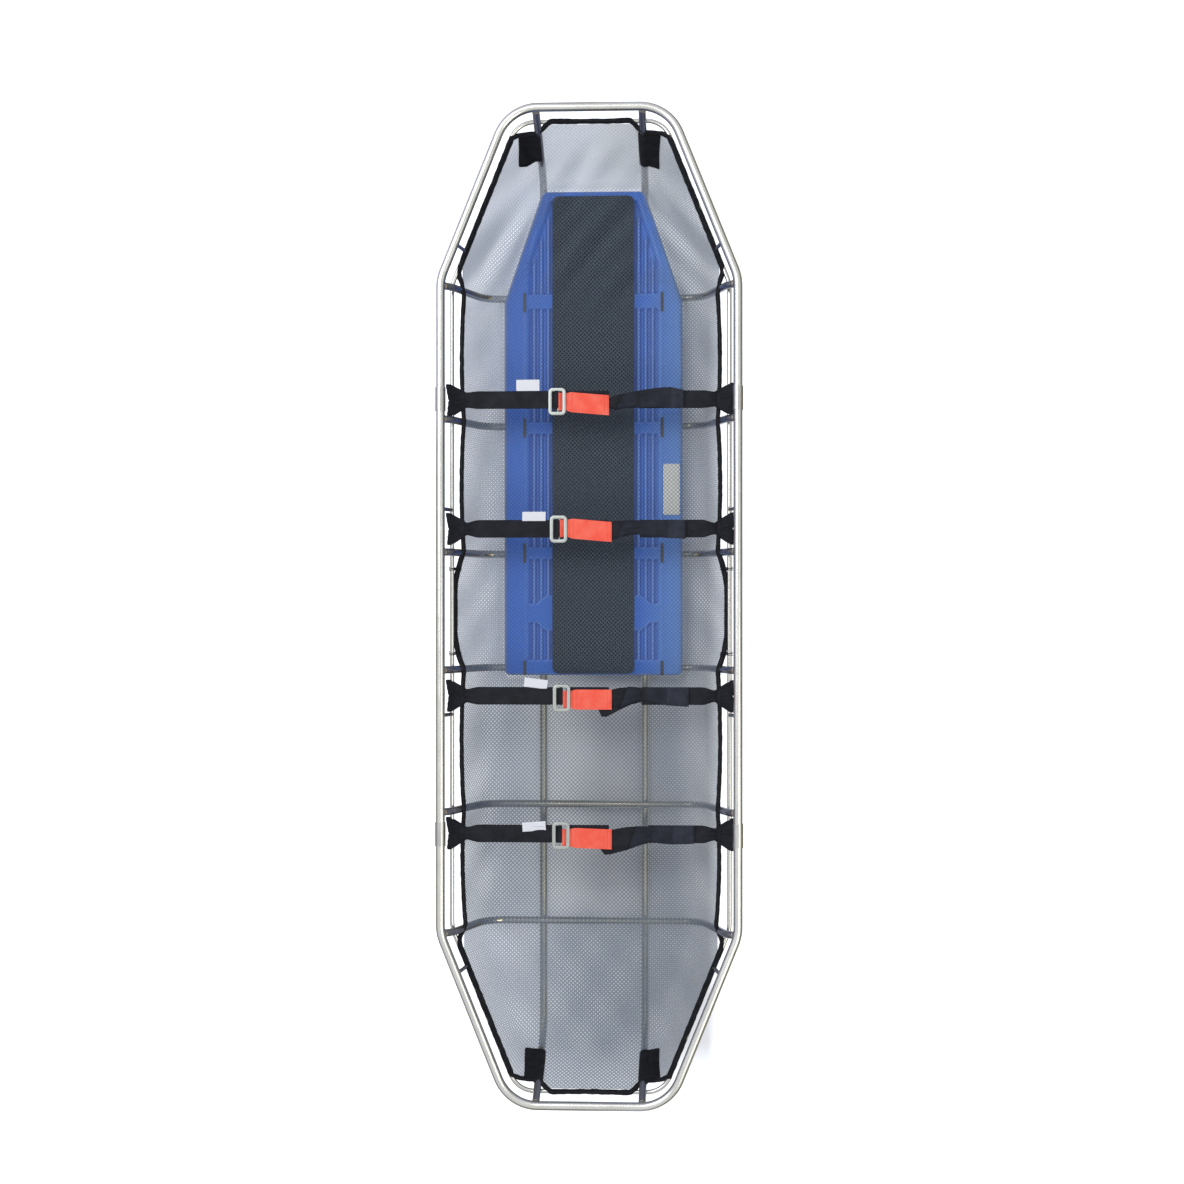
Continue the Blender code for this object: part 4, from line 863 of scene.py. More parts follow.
def hem_place(y):
    """Half width and height of the net's edge at one Y."""
    reach = half_width_at(HEM_PATH, y)
    on_side = smooth_step(-0.03, 0.03, RIB_YS[0] - y) * smooth_step(-0.03, 0.03, y - RIB_YS[-1])
    hem_z = RING_Z - 0.003 - 0.003 * on_side
    above = min([rib for rib in RIB_YS if rib >= y], default=None)
    below = max([rib for rib in RIB_YS if rib <= y], default=None)

    def inside(rib):
        centre = RIB_CORNER_X - rib_shift(rib) + (hem_z - RIB_Z) * math.tan(RIB_LEAN)
        return centre - (RIB_OD / 2 + 0.001) / math.cos(RIB_LEAN)

    if above is None or below is None:
        return min(reach, inside(RIB_YS[0] if y > 0 else RIB_YS[-1]) + 0.004), hem_z
    share = 0.0 if above == below else (y - below) / (above - below)
    tight = inside(below) * (1 - share) + inside(above) * share
    bow = 0.024 if (above, below) == (RIB_YS[2], RIB_YS[3]) else 0.006
    return min(reach, tight + bow * math.sin(math.pi * share) ** 0.7), hem_z


def end_floor(y):
    """Height of the bed towards an end, where it climbs to the ring."""
    start = RUNNER_CORNER_Y - RUNNER_BEND * math.tan((math.pi / 2 - RUNNER_LEAN) / 2)
    knee_y, knee_z = RUNNER_CORNER_Y + 0.012, RUNNER_Z + 0.040
    if y <= start:
        return NET_FLOOR
    if y <= knee_y:
        return NET_FLOOR + (knee_z - NET_FLOOR) * ((y - start) / (knee_y - start)) ** 2
    return knee_z + (RING_Z - 0.001 - knee_z) * (y - knee_y) / (HEM_END_Y - knee_y)


def net_row(y, columns):
    """One cross section of the net, evenly spaced points from the middle to the edge."""
    edge_x, hem_z = hem_place(y)
    wall_x = edge_x - (hem_z - NET_FLOOR) * math.tan(RIB_LEAN)
    bend = RIB_BEND - RIB_OD / 2
    profile = rounded_path([((0, 0, NET_FLOOR), 0), ((wall_x, 0, NET_FLOOR), bend), ((edge_x, 0, hem_z), 0)])
    floor_end = profile[1].x
    flat_x = np.linspace(0, floor_end, 60)
    xs = np.concatenate([flat_x[:-1], [point.x for point in profile[1:]]])
    zs = np.concatenate([np.full(59, NET_FLOOR), [point.z for point in profile[1:]]])
    bed = net_floor(xs, np.full_like(xs, y))
    fade = 1 - smooth_step(floor_end - 0.02, floor_end + 0.035, xs)
    zs = zs + (bed - NET_FLOOR) * fade
    climb = end_floor(abs(y))
    if climb > NET_FLOOR:
        span = hem_z - NET_FLOOR
        zs = climb + (hem_z - climb) * (zs - NET_FLOOR) / span
    steps = np.hypot(np.diff(xs), np.diff(zs))
    length = np.concatenate([[0], np.cumsum(steps)])
    wanted = np.linspace(0, length[-1], columns)
    return np.interp(wanted, length, xs), np.interp(wanted, length, zs), wanted


def fold_field(x, y):
    """Soft folds of the net, as (height, how tightly the cloth is bunched from 0 to 1)."""
    head = smooth_step(0.60, 0.76, y) * (1 - smooth_step(0.96, 1.02, y))
    side = 1.05 * (x - 2 * np.maximum(x - 0.14, 0.0)) + 0.10 * np.sin(5 * x + 1.0)
    slant = np.sin((side - y) * 68 + 0.9 * np.sin(y * 11 + 5 * x)) + 0.7 * np.sin((1.2 * side - y) * 37 + 2.4)
    foot = smooth_step(0.56, 0.72, -y) * (1 - smooth_step(0.96, 1.02, -y))
    waves = np.sin((x * 0.8 - y) * 36 + 2.2 * np.sin(x * 14)) + 0.7 * np.sin((x * 1.3 + y * 1.1) * 51)
    middle = smooth_step(0.14, 0.20, -y) * (1 - smooth_step(0.60, 0.68, -y))
    slack = np.sin((x * 0.5 + y) * 33 + 1.8 * np.sin(x * 11)) + 0.5 * np.sin((x - y * 0.6) * 49)
    across = np.abs(x)
    walls = smooth_step(0.20, 0.235, across) * smooth_step(0.72, 0.62, np.abs(y))
    drape = np.sin((across * 2.2 + y) * 37 + 1.5 * np.sin(y * 13)) + 0.6 * np.sin((y - across) * 29 + 1.0)
    height = 0.0036 * head * slant + 0.0026 * foot * waves + 0.0014 * middle * slack + 0.0018 * walls * drape
    bunched = head * slant + 0.22 * foot * waves + 0.15 * middle * slack + 0.35 * walls * drape
    return height, 1 - smooth_step(-1.5, 1.5, bunched)


def clear_of_board(x, y):
    """1 where the net has no board under it, 0 over the board."""
    half = board_half_at(np.clip(y, BOARD_FOOT_Y + 0.002, BOARD_HEAD_Y - 0.002))
    ends = smooth_step(-0.005, 0.010, np.maximum(y - BOARD_HEAD_Y, BOARD_FOOT_Y - y))
    return np.maximum(ends, smooth_step(-0.010, 0.004, np.abs(x) - half))


def opening_field(x, y):
    """(radius of the net's holes as a share of their pitch, how much painted light the yarns get from the
    ground).
    """
    height, bunched = fold_field(x, y)
    clear = clear_of_board(x, y)
    right, left = smooth_step(0.0, 0.20, x), smooth_step(0.0, 0.20, -x)
    right_wall = smooth_step(0.17, 0.23, x)
    up, down = smooth_step(0.80, 0.90, y), smooth_step(0.62, 0.74, -y)
    walls = 0.13 + 0.03 * right
    walls = walls + (0.36 - walls) * (1 - smooth_step(0.04, 0.20, np.abs(x)))
    head = 0.13 - 0.30 * np.maximum(x, 0.0)
    foot = 0.10 - 0.02 * right + 0.05 * left
    radius = (walls * (1 - up) + head * up) * (1 - down) + foot * down
    low = smooth_step(0.10, 0.25, -y)
    # Painted light on the yarns, strongest at the head and to the left
    wall_glow = 0.04 + 0.36 * left + 0.20 * right_wall + (0.18 * right - 0.26 * left) * low
    wall_glow = wall_glow + 0.27 * left * smooth_step(0.35, 0.55, y)
    head_glow = 1.0 - 0.62 * right
    foot_glow = 0.06 + 0.15 * right + 0.32 * left
    painted_glow = (wall_glow * (1 - up) + head_glow * up) * (1 - down) + foot_glow * down
    radius = 0.50 * (1 - clear) + radius * clear - (0.08 + (0.14 - 0.09 * up) * clear) * (bunched - 0.5)
    return radius, painted_glow * clear


NOTCH_IN, NOTCH_OUT = 0.090, 0.160


def notch_floor(across):
    """Y past which the net is cut away round a runner, at one distance from the middle."""
    inner = RING_END_Y - 0.002 - (RING_END_Y - 0.002 - 1.0195) * (across - NOTCH_IN) / (0.107 - NOTCH_IN)
    return max(1.0155, inner) if across < 0.107 else 1.0195 - 0.004 * (across - 0.107) / 0.050


def make_net():
    half_columns = 47
    rows = steps_between(((-HEM_END_Y + 0.0002, 0.006), (-0.90, 0.009), (0.90, 0.006),
                          (HEM_END_Y - 0.0002, 0)))
    sections = [net_row(y, half_columns) for y in rows]
    xs, zs, across = (np.array([section[part] for section in sections]) for part in range(3))
    ys = np.repeat(np.array(rows)[:, None], half_columns, axis=1)
    xs, zs, across, ys = (np.concatenate([sign * side[:, :0:-1], side], axis=1)
                          for side, sign in ((xs, -1), (zs, 1), (across, -1), (ys, 1)))
    # The cloth spans small steps under it
    for turn in range(6):
        soft = zs.copy()
        beside = zs[:-2, 1:-1] + zs[2:, 1:-1] + zs[1:-1, :-2] + zs[1:-1, 2:]
        soft[1:-1, 1:-1] = (beside + 4 * zs[1:-1, 1:-1]) / 8
        zs = soft
    rim = smooth_step(0.0, 0.12, np.abs(across[:, -1:]) - np.abs(across))
    zs = zs + fold_field(xs, ys)[0] * rim
    zs = np.maximum(zs, np.where(np.abs(xs) < 0.20, net_floor(xs, ys), 0.0))
    middle = half_columns - 1
    steps = np.hypot(np.diff(ys[:, middle]), np.diff(zs[:, middle]))
    along = np.concatenate([[0], np.cumsum(steps)])
    count_y, count_x = xs.shape
    points = np.stack([xs, ys, zs], axis=-1).reshape(-1, 3)
    uvs = np.stack([across, np.repeat(along[:, None], count_x, axis=1)], axis=-1).reshape(-1, 2)
    faces = []
    for row in range(count_y - 1):
        for column in range(count_x - 1):
            base = row * count_x + column
            centre = points[[base, base + 1, base + count_x, base + count_x + 1]].mean(axis=0)
            # The notch that lets the runner out over the flap
            if NOTCH_IN < abs(centre[0]) < NOTCH_OUT and abs(centre[1]) > notch_floor(abs(centre[0])):
                continue
            faces.append((base, base + 1, base + 1 + count_x, base + count_x))
    mesh = joined("net_bed", [(points.tolist(), faces, [tuple(uv) for uv in uvs.tolist()], NET)])
    for attribute, values in zip(("open", "painted_glow"), opening_field(xs, ys)):
        mesh.attributes.new(attribute, "FLOAT", "POINT").data.foreach_set("value", values.ravel())
    net = new_piece("net_bed", mesh, replaces=["net"])
    return BVHTree.FromPolygons(points.tolist(), faces)


NET_SURFACE = make_net()


def edge_tree():
    """Rolled, crinkled edge tape along each polyline; thick holds its radius at each point."""
    tree, given = new_tree("rolled_edge", ["Spacing", "Crinkle", "Crinkle Size"], ["Sides"])
    even = add_node(tree, "GeometryNodeResampleCurve",
                    {"Curve": base_curve(tree, given), "Length": given["Spacing"]}, mode="LENGTH")
    skin = swept(tree, even.outputs[0], circle(tree, given["Sides"], 1.0),
                 {"Scale": point_value(tree, "thick"), "Fill Caps": True})
    inputs = {"Scale": maths(tree, "DIVIDE", 1.0, given["Crinkle Size"]), "W": 3.0, "Detail": 2.0}
    rough = add_node(tree, "ShaderNodeTexNoise", inputs, noise_dimensions="4D").outputs[0]
    amount = maths(tree, "MULTIPLY", maths(tree, "SUBTRACT", rough, 0.5), given["Crinkle"])
    normal = add_node(tree, "GeometryNodeInputNormal")
    push = add_node(tree, "ShaderNodeVectorMath", {0: normal.outputs[0], "Scale": amount}, operation="SCALE")
    moved = add_node(tree, "GeometryNodeSetPosition", {"Geometry": skin, "Offset": push.outputs[0]})
    return end_tree(tree, moved.outputs[0], given)


def stitch_tree():
    """Row of stitches along each polyline, each a short straight thread."""
    tree, given = new_tree("stitch_row", ["Pitch", "Stitch", "Thread"])
    even = add_node(tree, "GeometryNodeCurveToPoints",
                    {"Curve": base_curve(tree, given), "Length": given["Pitch"]}, mode="LENGTH")
    rod = add_node(tree, "GeometryNodeMeshCylinder",
                   {"Vertices": 6, "Side Segments": 1, "Fill Segments": 1, "Radius": given["Thread"],
                    "Depth": given["Stitch"]})
    placed = copies(tree, even.outputs[0], rod.outputs[0],
                    {"Rotation": facing(tree, even.outputs["Tangent"])})
    return end_tree(tree, placed, given)


EDGES = edge_tree()
STITCHES = stitch_tree()


def stitched(name, runs, body, thread, pitch=0.0035, length=0.0024, radius=0.0004):
    values = {"Pitch": pitch, "Stitch": length, "Thread": radius, "Material": thread}
    return grown_piece(name, path_mesh(name, runs), STITCHES, values, body)


def upright_point(x, z, way):
    """Point on a runner's end, at one height, towards one end of the stretcher."""
    return Vector((x, way * (RAIL_END_Y - (RAIL_Z - z) * math.tan(RUNNER_LEAN)), z))


FLAP_TOP, FLAP_LOW = 0.134, 0.0506


def binding_runs():
    """Lines of the bound edge: one across each end and one down each side, with their radii."""
    runs, radii = [], []
    for way in (1, -1):
        run = [upright_point(0.111, FLAP_TOP + 0.0005, way) + Vector((0, 0, 0.009)),
               Vector((0.104, way * 1.0250, RING_Z - 0.003)),
               Vector((0.092, way * (RING_END_Y - 0.003), RING_Z)),
               Vector((0.084, way * (RING_END_Y + 0.001), RING_Z + 0.001)),
               Vector((0.030, way * RING_END_Y, RING_Z + 0.001))]
        run += [Vector((-point.x, point.y, point.z)) for point in reversed(run)]
        runs.append(run)
        radii += [0.0042, 0.0052, 0.0060, 0.0062, 0.0056, 0.0056, 0.0062, 0.0060, 0.0052, 0.0042]
    for sign in (-1, 1):
        run, sizes = [], []
        for way in (1, -1):
            top = [upright_point(sign * 0.113, FLAP_TOP - 0.001, way) + Vector((0, 0, 0.008)),
                   Vector((sign * 0.135, way * 1.0180, FLAP_TOP + 0.004)),
                   Vector((sign * 0.153, way * 1.0150, FLAP_TOP + 0.006))]
            middle = []
            for y in steps_between(((1.0080, -0.012), (0.0, 0))):
                ring_x = half_width_at(RING_PATH, y)
                edge_x, hem_z = hem_place(way * y)
                wrap = smooth_step(0.690, 0.730, y)
                x = edge_x * (1 - wrap) + (ring_x - 0.0015) * wrap
                z = (hem_z + 0.001) * (1 - wrap) + RING_Z * wrap
                full = 0.0012 * smooth_step(0.17, 0.09, abs(way * y + 0.01))
                middle.append((Vector((sign * x, way * y, z)), (0.0048 + full) * (1 - wrap) + 0.0062 * wrap))
            part = [(point, 0.0048) for point in top] + middle
            if way < 0:
                part = part[::-1][1:]
            run += [point for point, size in part]
            sizes += [size for point, size in part]
        runs.append(run)
        radii += sizes
    return runs, radii


def make_binding():
    runs, radii = binding_runs()
    values = {"Sides": 14, "Spacing": 0.005, "Crinkle": 0.0034, "Crinkle Size": 0.013, "Material": TAPE}
    grown_piece("net_binding", path_mesh("net_binding", runs, thick=radii), EDGES, values)
    sewn = [[point + Vector((0, 0, 0.0056)) for point in run[1:-1]] for run in runs]
    stitched("net_binding_stitches", sewn, BODY, BLACK_THREAD, pitch=0.005, length=0.0036, radius=0.0005)


def tie_loops(centre, direction, reach, count):
    """Turns of cord round the ring and the net's edge, as points."""
    points = []
    steps = count * 16
    for number in range(steps + 1):
        angle = number / 16 * 2 * math.pi
        along = (number / steps - 0.5) * count * 0.0034
        points.append(centre + direction * math.cos(angle) * reach
                      + Vector((0, along, 0.0075 * math.sin(angle))))
    return points


def make_ties():
    """Black lashings that hold the net's edge to the ring between two ribs."""
    runs = []
    for sign in (-1, 1):
        for y in (0.081, -0.101):
            edge_x = hem_place(y)[0]
            centre = Vector((sign * (edge_x + RING_X) / 2, y, RING_Z - 0.002))
            runs.append(tie_loops(centre, Vector((sign, 0, 0)), (RING_X - edge_x) / 2 + 0.0070, 2))
    values = {"Sides": 8, "Spacing": 0.0025, "Crinkle": 0.0003, "Crinkle Size": 0.004, "Material": TAPE}
    base = path_mesh("net_ties", runs, thick=[0.0010] * sum(len(run) for run in runs))
    grown_piece("net_ties", base, EDGES, values)


make_binding()
make_ties()


ACROSS, UP = Vector((0, 1, 0)), Vector((0, 0, 1))
# Half widths of the webbing where it gathers at its hitch, left and right
THROATS = ((0.0165, 0.0160), (0.0135, 0.0125), (0.0145, 0.0125), (0.0135, 0.0130))


def lofted(rings, uvs, material):
    """Part for joined(): a skin over rings of points, with its two ends closed."""
    count = len(rings[0])
    points = [point for ring in rings for point in ring]
    faces = []
    for row in range(len(rings) - 1):
        for index in range(count):
            after = (index + 1) % count
            faces.append((row * count + index, row * count + after, (row + 1) * count + after,
                          (row + 1) * count + index))
    faces.append(tuple(reversed(range(count))))
    faces.append(tuple((len(rings) - 1) * count + index for index in range(count)))
    return points, faces, uvs, material


def ribbon(stations, material, columns=13):
    """Flat webbing through (centre, across, up, half width, thickness, pleat, bow) stations."""
    rings, uvs = [], []
    length = 0.0
    before = None
    for centre, across, up, half, thickness, pleat, bow in stations:
        length += (centre - before).length if before is not None else 0.0
        before = centre
        top, low, top_uv, low_uv = [], [], [], []
        for column in range(columns):
            side = -1 + 2 * column / (columns - 1)
            lift = pleat * math.cos(3 * math.pi * side) + bow * (1 - side * side)
            thin = 0.5 * thickness * (0.45 if abs(side) == 1 else 1.0)
            middle = centre + across * half * side + up * lift
            top.append(middle + up * thin)
            low.append(middle - up * thin)
            top_uv.append((length, half * side))
            low_uv.append((length, half * side + 0.2))
        rings.append(top + low[::-1])
        uvs += top_uv + low_uv[::-1]
    return lofted(rings, uvs, material)


def eased(values, share):
    """Value at a share along (share, value) pairs, eased between them."""
    for (low, before), (high, after) in zip(values, values[1:]):
        if share <= high:
            return before + (after - before) * float(smooth_step(low, high, share))
    return values[-1][1]


def hitch_parts(ring_x, y, throat):
    """Lark's head hitch round the ring: two gathered legs and the bight across them."""
    way = -math.copysign(1, ring_x)
    parts = []
    wrap = RING_OD / 2 + GAP + 0.0016
    for leg in (-1, 1):
        stations = []
        for number in range(29):
            share = number / 28
            # The teardrop runs from the throat over the ring's outer side and back
            if share < 0.3 or share > 0.7:
                run = (share / 0.3) if share < 0.3 else ((1 - share) / 0.3)
                top = 1 if share < 0.3 else -1
                tangent = Vector((way * 0.0018, 0, top * wrap))
                start = Vector((way * 0.031, 0, top * 0.0018))
                place = start.lerp(tangent, run)
                up = Vector((way * 0.16, 0, top)).normalized()
                gather = run
            else:
                angle = math.pi / 2 - (share - 0.3) / 0.4 * math.pi
                place = Vector((-way * wrap * math.cos(angle), 0, wrap * math.sin(angle)))
                up = Vector((-way * math.cos(angle), 0, math.sin(angle)))
                gather = 1.0
            half = throat * 0.56 + (0.0180 - throat * 0.56) * gather
            offset = throat * 0.46 + (0.0168 - throat * 0.46) * gather
            # The outer corners are drawn out past the ring, the upper one the most
            skew = (0.18 if leg > 0 else 0.10) * gather
            centre = Vector((ring_x - way * skew * half, y + leg * offset, RING_Z)) + place
            across = Vector((-way * leg * skew, 1, 0)).normalized()
            stations.append((centre, across, up, half, 0.0022, 0.0009 * (1 - gather) + 0.0004, 0.0004))
        parts.append(ribbon(stations, BLACK_WEBBING, 13))
    loop = []
    for number in range(25):
        angle = 2 * math.pi * number / 24
        up = Vector((0, math.cos(angle) * 0.5, math.sin(angle))).normalized()
        centre = Vector((ring_x + way * 0.0215, y + (throat + 0.0045) * math.cos(angle),
                         RING_Z + 0.0050 * math.sin(angle)))
        loop.append((centre, Vector((1, 0, 0)), up, 0.0050, 0.0020, 0.0002, 0.0006))
    parts.append(ribbon(loop, BLACK_WEBBING, 7))
    return parts


def strap_stations(ring_x, end_x, y, low, throat):
    """Plain strap from its hitch to end_x: gathered at the throat, then flat."""
    way = -math.copysign(1, ring_x)
    reach = abs(end_x - ring_x)
    middle = low + WEBBING / 2
    full = WEBBING_WIDTH / 2
    stations = []
    count = 44
    for number in range(count + 1):
        far = 0.014 + (reach - 0.014) * number / count
        half = eased(((0.014, throat), (0.031, throat), (0.058, full), (1.0, full)), far)
        thick = eased(((0.014, 0.0048), (0.032, 0.0046), (0.060, WEBBING), (1.0, WEBBING)), far)
        pleat = eased(((0.014, 0.0012), (0.036, 0.0012), (0.070, 0.0), (1.0, 0.0)), far)
        rise = eased(((0.014, 0.0012), (0.040, 0.0012), (0.070, 0.0), (1.0, 0.0)), far)
        centre = Vector((ring_x + way * far, y, middle + rise))
        stations.append((centre, ACROSS, UP, half, thick, pleat, 0.0))
    return stations


def frame_tree():
    """Stamped rectangular buckle frame: a flat rounded bar round a rounded rectangle."""
    tree, given = new_tree("buckle_frame", ["Width", "Height", "Bar", "Thickness", "Corner"])
    outline = rounded_rectangle(tree, given["Width"], given["Height"], given["Corner"], 8)
    upright = add_node(tree, "GeometryNodeSetCurveNormal", {"Curve": outline}, mode="Z_UP")
    edge = maths(tree, "MULTIPLY", given["Thickness"], 0.38)
    section = rounded_rectangle(tree, given["Bar"], given["Thickness"], edge, 4)
    placed = copies(tree, base_points(tree, given), swept(tree, upright.outputs[0], section))
    return end_tree(tree, placed, given)


BUCKLES = frame_tree()
# The middle bar lies this far to the right of its buckle's middle
BAR_SHIFT = 0.0017
# How far each buckle and tab has slipped on its strap: buckle to the right, buckle down, tab down
SLIPS = ((0.0, 0.0042, 0.0045), (0.003, 0.0010, -0.0010), (0.0045, 0.0048, 0.0078), (0.003, 0.0040, 0.0085))
TAG_PLACES = ((-0.134, 0.0310, 0.0), (-0.121, 0.0265, 0.0), (-0.117, 0.0270, -7.0), (-0.121, 0.0155, 4.0))


def make_buckle(index, y):
    name = "strap_%d" % (index + 1)
    body = name + "_clasp"
    centre_x = BUCKLE_XS[index] + SLIPS[index][0]
    y -= SLIPS[index][1]
    middle_z = BUCKLE_LOW + BUCKLE_THICKNESS / 2
    bar = 0.0078
    values = {"Width": BUCKLE_SIZE[0] - bar, "Height": BUCKLE_SIZE[1] - bar, "Bar": bar,
              "Thickness": BUCKLE_THICKNESS, "Corner": 0.0058, "Material": STEEL}
    base = path_mesh(name + "_buckle_frame", [[Vector((centre_x, y, middle_z))]])
    grown_piece(name + "_buckle_frame", base, BUCKLES, values, body, [name + "_buckle"])
    half = BUCKLE_SIZE[1] / 2 - BUCKLE_BAR + 0.001
    ends = [(centre_x + BAR_SHIFT, y + step, middle_z) for step in (-half, half)]
    base = path_mesh(name + "_middle_bar", [ends], bend=[0.0, 0.0])
    values = {"Diameter": 0.003, "Sides": 16, "Bend Steps": 1, "Material": STEEL}
    grown_piece(name + "_middle_bar", base, TUBES, values, body)


def loop_round_bar(bar_x, way, start_x, low, radius):
    """Path of webbing that comes from start_x, passes round the middle bar and turns back."""
    middle_z = BUCKLE_LOW + BUCKLE_THICKNESS / 2
    points = [Vector((start_x, 0, low + 0.00125)), Vector((bar_x - way * 0.0125, 0, low + 0.00125)),
              Vector((bar_x - way * 0.0070, 0, low + 0.0016))]
    for number in range(9):
        angle = math.radians(-70 + 160 * number / 8)
        points.append(Vector((bar_x + way * (radius * math.cos(angle) - 0.0012), 0,
                              middle_z + radius * math.sin(angle))))
    points.append(Vector((bar_x - way * 0.0050, 0, middle_z + radius - 0.0008)))
    return points


def path_stations(points, y, half, thickness):
    """Stations of a flat ribbon that follows points in the XZ plane."""
    stations = []
    for index, point in enumerate(points):
        before = points[max(index - 1, 0)]
        after = points[min(index + 1, len(points) - 1)]
        forward = (after - before).normalized()
        up = Vector((-forward.z, 0, forward.x))
        stations.append((Vector((point.x, y, point.z)), ACROSS, up, half, thickness, 0.0, 0.0))
    return stations


def make_left_strap(index, y):
    name = "strap_%d" % (index + 1)
    hinge_x = BUCKLE_XS[index] - BUCKLE_SIZE[0] / 2
    throat = THROATS[index][0]
    parts = hitch_parts(-RING_X, y, throat)
    parts.append(ribbon(strap_stations(-RING_X, hinge_x + 0.002, y, LEFT_LOW, throat), BLACK_WEBBING))
    joined_piece(name + "_left_band", parts, name + "_left", [name + "_left_webbing"])
    x, rise, tilt = TAG_PLACES[index]
    turned = Matrix.Rotation(math.radians(tilt), 3, "Z")
    rows = []
    for number in range(13):
        share = number / 12
        place = turned @ Vector((-0.025 + 0.050 * share, 0, 0.0))
        curl = 0.0012 * math.sin(2.4 * share + index) + 0.0004
        centre = Vector((x, y + rise, LEFT_LOW + WEBBING + 0.0004)) + place + Vector((0, 0, curl))
        rows.append((centre, turned @ ACROSS, UP, 0.0120 if index < 1 else 0.0098, 0.0004, 0.0, 0.0007))
    joined_piece(name + "_bare_tag", [ribbon(rows, LABEL, 9)], name + "_left")
    edge = y + WEBBING_WIDTH / 2 - 0.0035
    row = [Vector((x + step, edge, LEFT_LOW + WEBBING + 0.0003)) for step in (-0.022, 0.0, 0.022)]
    stitched(name + "_tag_stitches", [row], name + "_left", BLACK_THREAD)


def make_clasp(index, y):
    """Webbing loop, red tab and stitches that ride on the buckle."""
    name = "strap_%d" % (index + 1)
    body = name + "_clasp"
    centre_x = BUCKLE_XS[index] + SLIPS[index][0]
    hinge_x = BUCKLE_XS[index] - BUCKLE_SIZE[0] / 2
    bar_x = centre_x + BAR_SHIFT
    path = loop_round_bar(bar_x - 0.0012, 1, hinge_x, LEFT_LOW, 0.0026)
    loop = ribbon(path_stations(path, y, WEBBING_WIDTH / 2, 0.0020), BLACK_WEBBING)
    joined_piece(name + "_black_loop", [loop], body)
    y -= SLIPS[index][2]
    window_end = centre_x + BUCKLE_SIZE[0] / 2 - BUCKLE_BAR
    bar_end = centre_x + BUCKLE_SIZE[0] / 2 + 0.001
    tilt = math.tan(math.radians(TAB_TILTS[index]))
    end_x = 0.040 if index == 0 else 0.046
    top = BUCKLE_LOW + BUCKLE_THICKNESS - 0.0006
    path = [Vector((bar_x + 0.0012, 0, top - 0.0026)), Vector((bar_x + 0.0022, 0, top - 0.0012)),
            Vector((bar_x + 0.0042, 0, top - 0.0010)), Vector((window_end - 0.0030, 0, LEFT_LOW + 0.0024)),
            Vector((window_end + 0.0005, 0, LEFT_LOW + 0.00125))]
    stations = path_stations(path, y, 0.019, 0.0020)
    count = 22
    for number in range(count + 1):
        share = number / count
        x = bar_end + (end_x - bar_end) * share
        half = 0.019 + 0.0025 * float(smooth_step(0.0, 0.12, share))
        wave = 0.0004 * math.sin(7 * share + index)
        centre = Vector((x, y - (x - bar_end) * tilt, LEFT_LOW + WEBBING / 2 + wave * share))
        stations.append((centre, ACROSS, UP, half, WEBBING, 0.0, 0.0003))
    joined_piece(name + "_red_tab", [ribbon(stations, RED_WEBBING)], body, [name + "_pull_tab"])
    z = LEFT_LOW + WEBBING + 0.0004
    runs = []
    for near, far in ((bar_end + 0.003, bar_end + 0.012), (end_x - 0.009, end_x - 0.003)):
        for x in (near, far):
            slide = (x - bar_end) * tilt
            runs.append([Vector((x, y - slide - 0.017, z)), Vector((x, y - slide + 0.017, z))])
    stitched(name + "_tab_stitches", runs, body, RED_THREAD)


# Outline of the folded webbing past each red tab, as (x, y from the strap's middle) along its low and
# high edges: the turned layer that comes from under the tab, the one that crosses it, and the take-up
TURNED = (
    (((0.040, -0.0178), (0.053, -0.0225), (0.075, -0.0195), (0.110, -0.0170)),
     ((0.040, 0.0040), (0.053, 0.0085), (0.075, 0.0135), (0.110, 0.0150))),
    (((0.040, -0.0235), (0.050, -0.0240), (0.082, -0.0149), (0.112, -0.0121)),
     ((0.040, 0.0150), (0.050, 0.0162), (0.082, 0.0176), (0.112, 0.0176))),
    (((0.040, -0.0190), (0.063, -0.0250), (0.085, -0.0190), (0.116, -0.0115)),
     ((0.040, 0.0125), (0.063, 0.0178), (0.085, 0.0190), (0.116, 0.0172))),
    (((0.040, -0.0300), (0.078, -0.0328), (0.100, -0.0260), (0.130, -0.0175)),
     ((0.040, 0.0080), (0.078, 0.0150), (0.100, 0.0165), (0.130, 0.0163))))
CROSSED = (
    (((0.055, -0.0218), (0.075, -0.0200), (0.100, -0.0168)),
     ((0.074, 0.0128), (0.086, 0.0152), (0.100, 0.0165))),
    (((0.060, -0.0208), (0.082, -0.0155), (0.106, -0.0118)),
     ((0.072, 0.0178), (0.088, 0.0184), (0.106, 0.0180))),
    (((0.063, -0.0290), (0.085, -0.0185), (0.108, -0.0092)),
     ((0.080, 0.0202), (0.092, 0.0200), (0.108, 0.0180))),
    (((0.082, -0.0328), (0.103, -0.0250), (0.130, -0.0165)),
     ((0.099, 0.0172), (0.113, 0.0172), (0.130, 0.0165))))
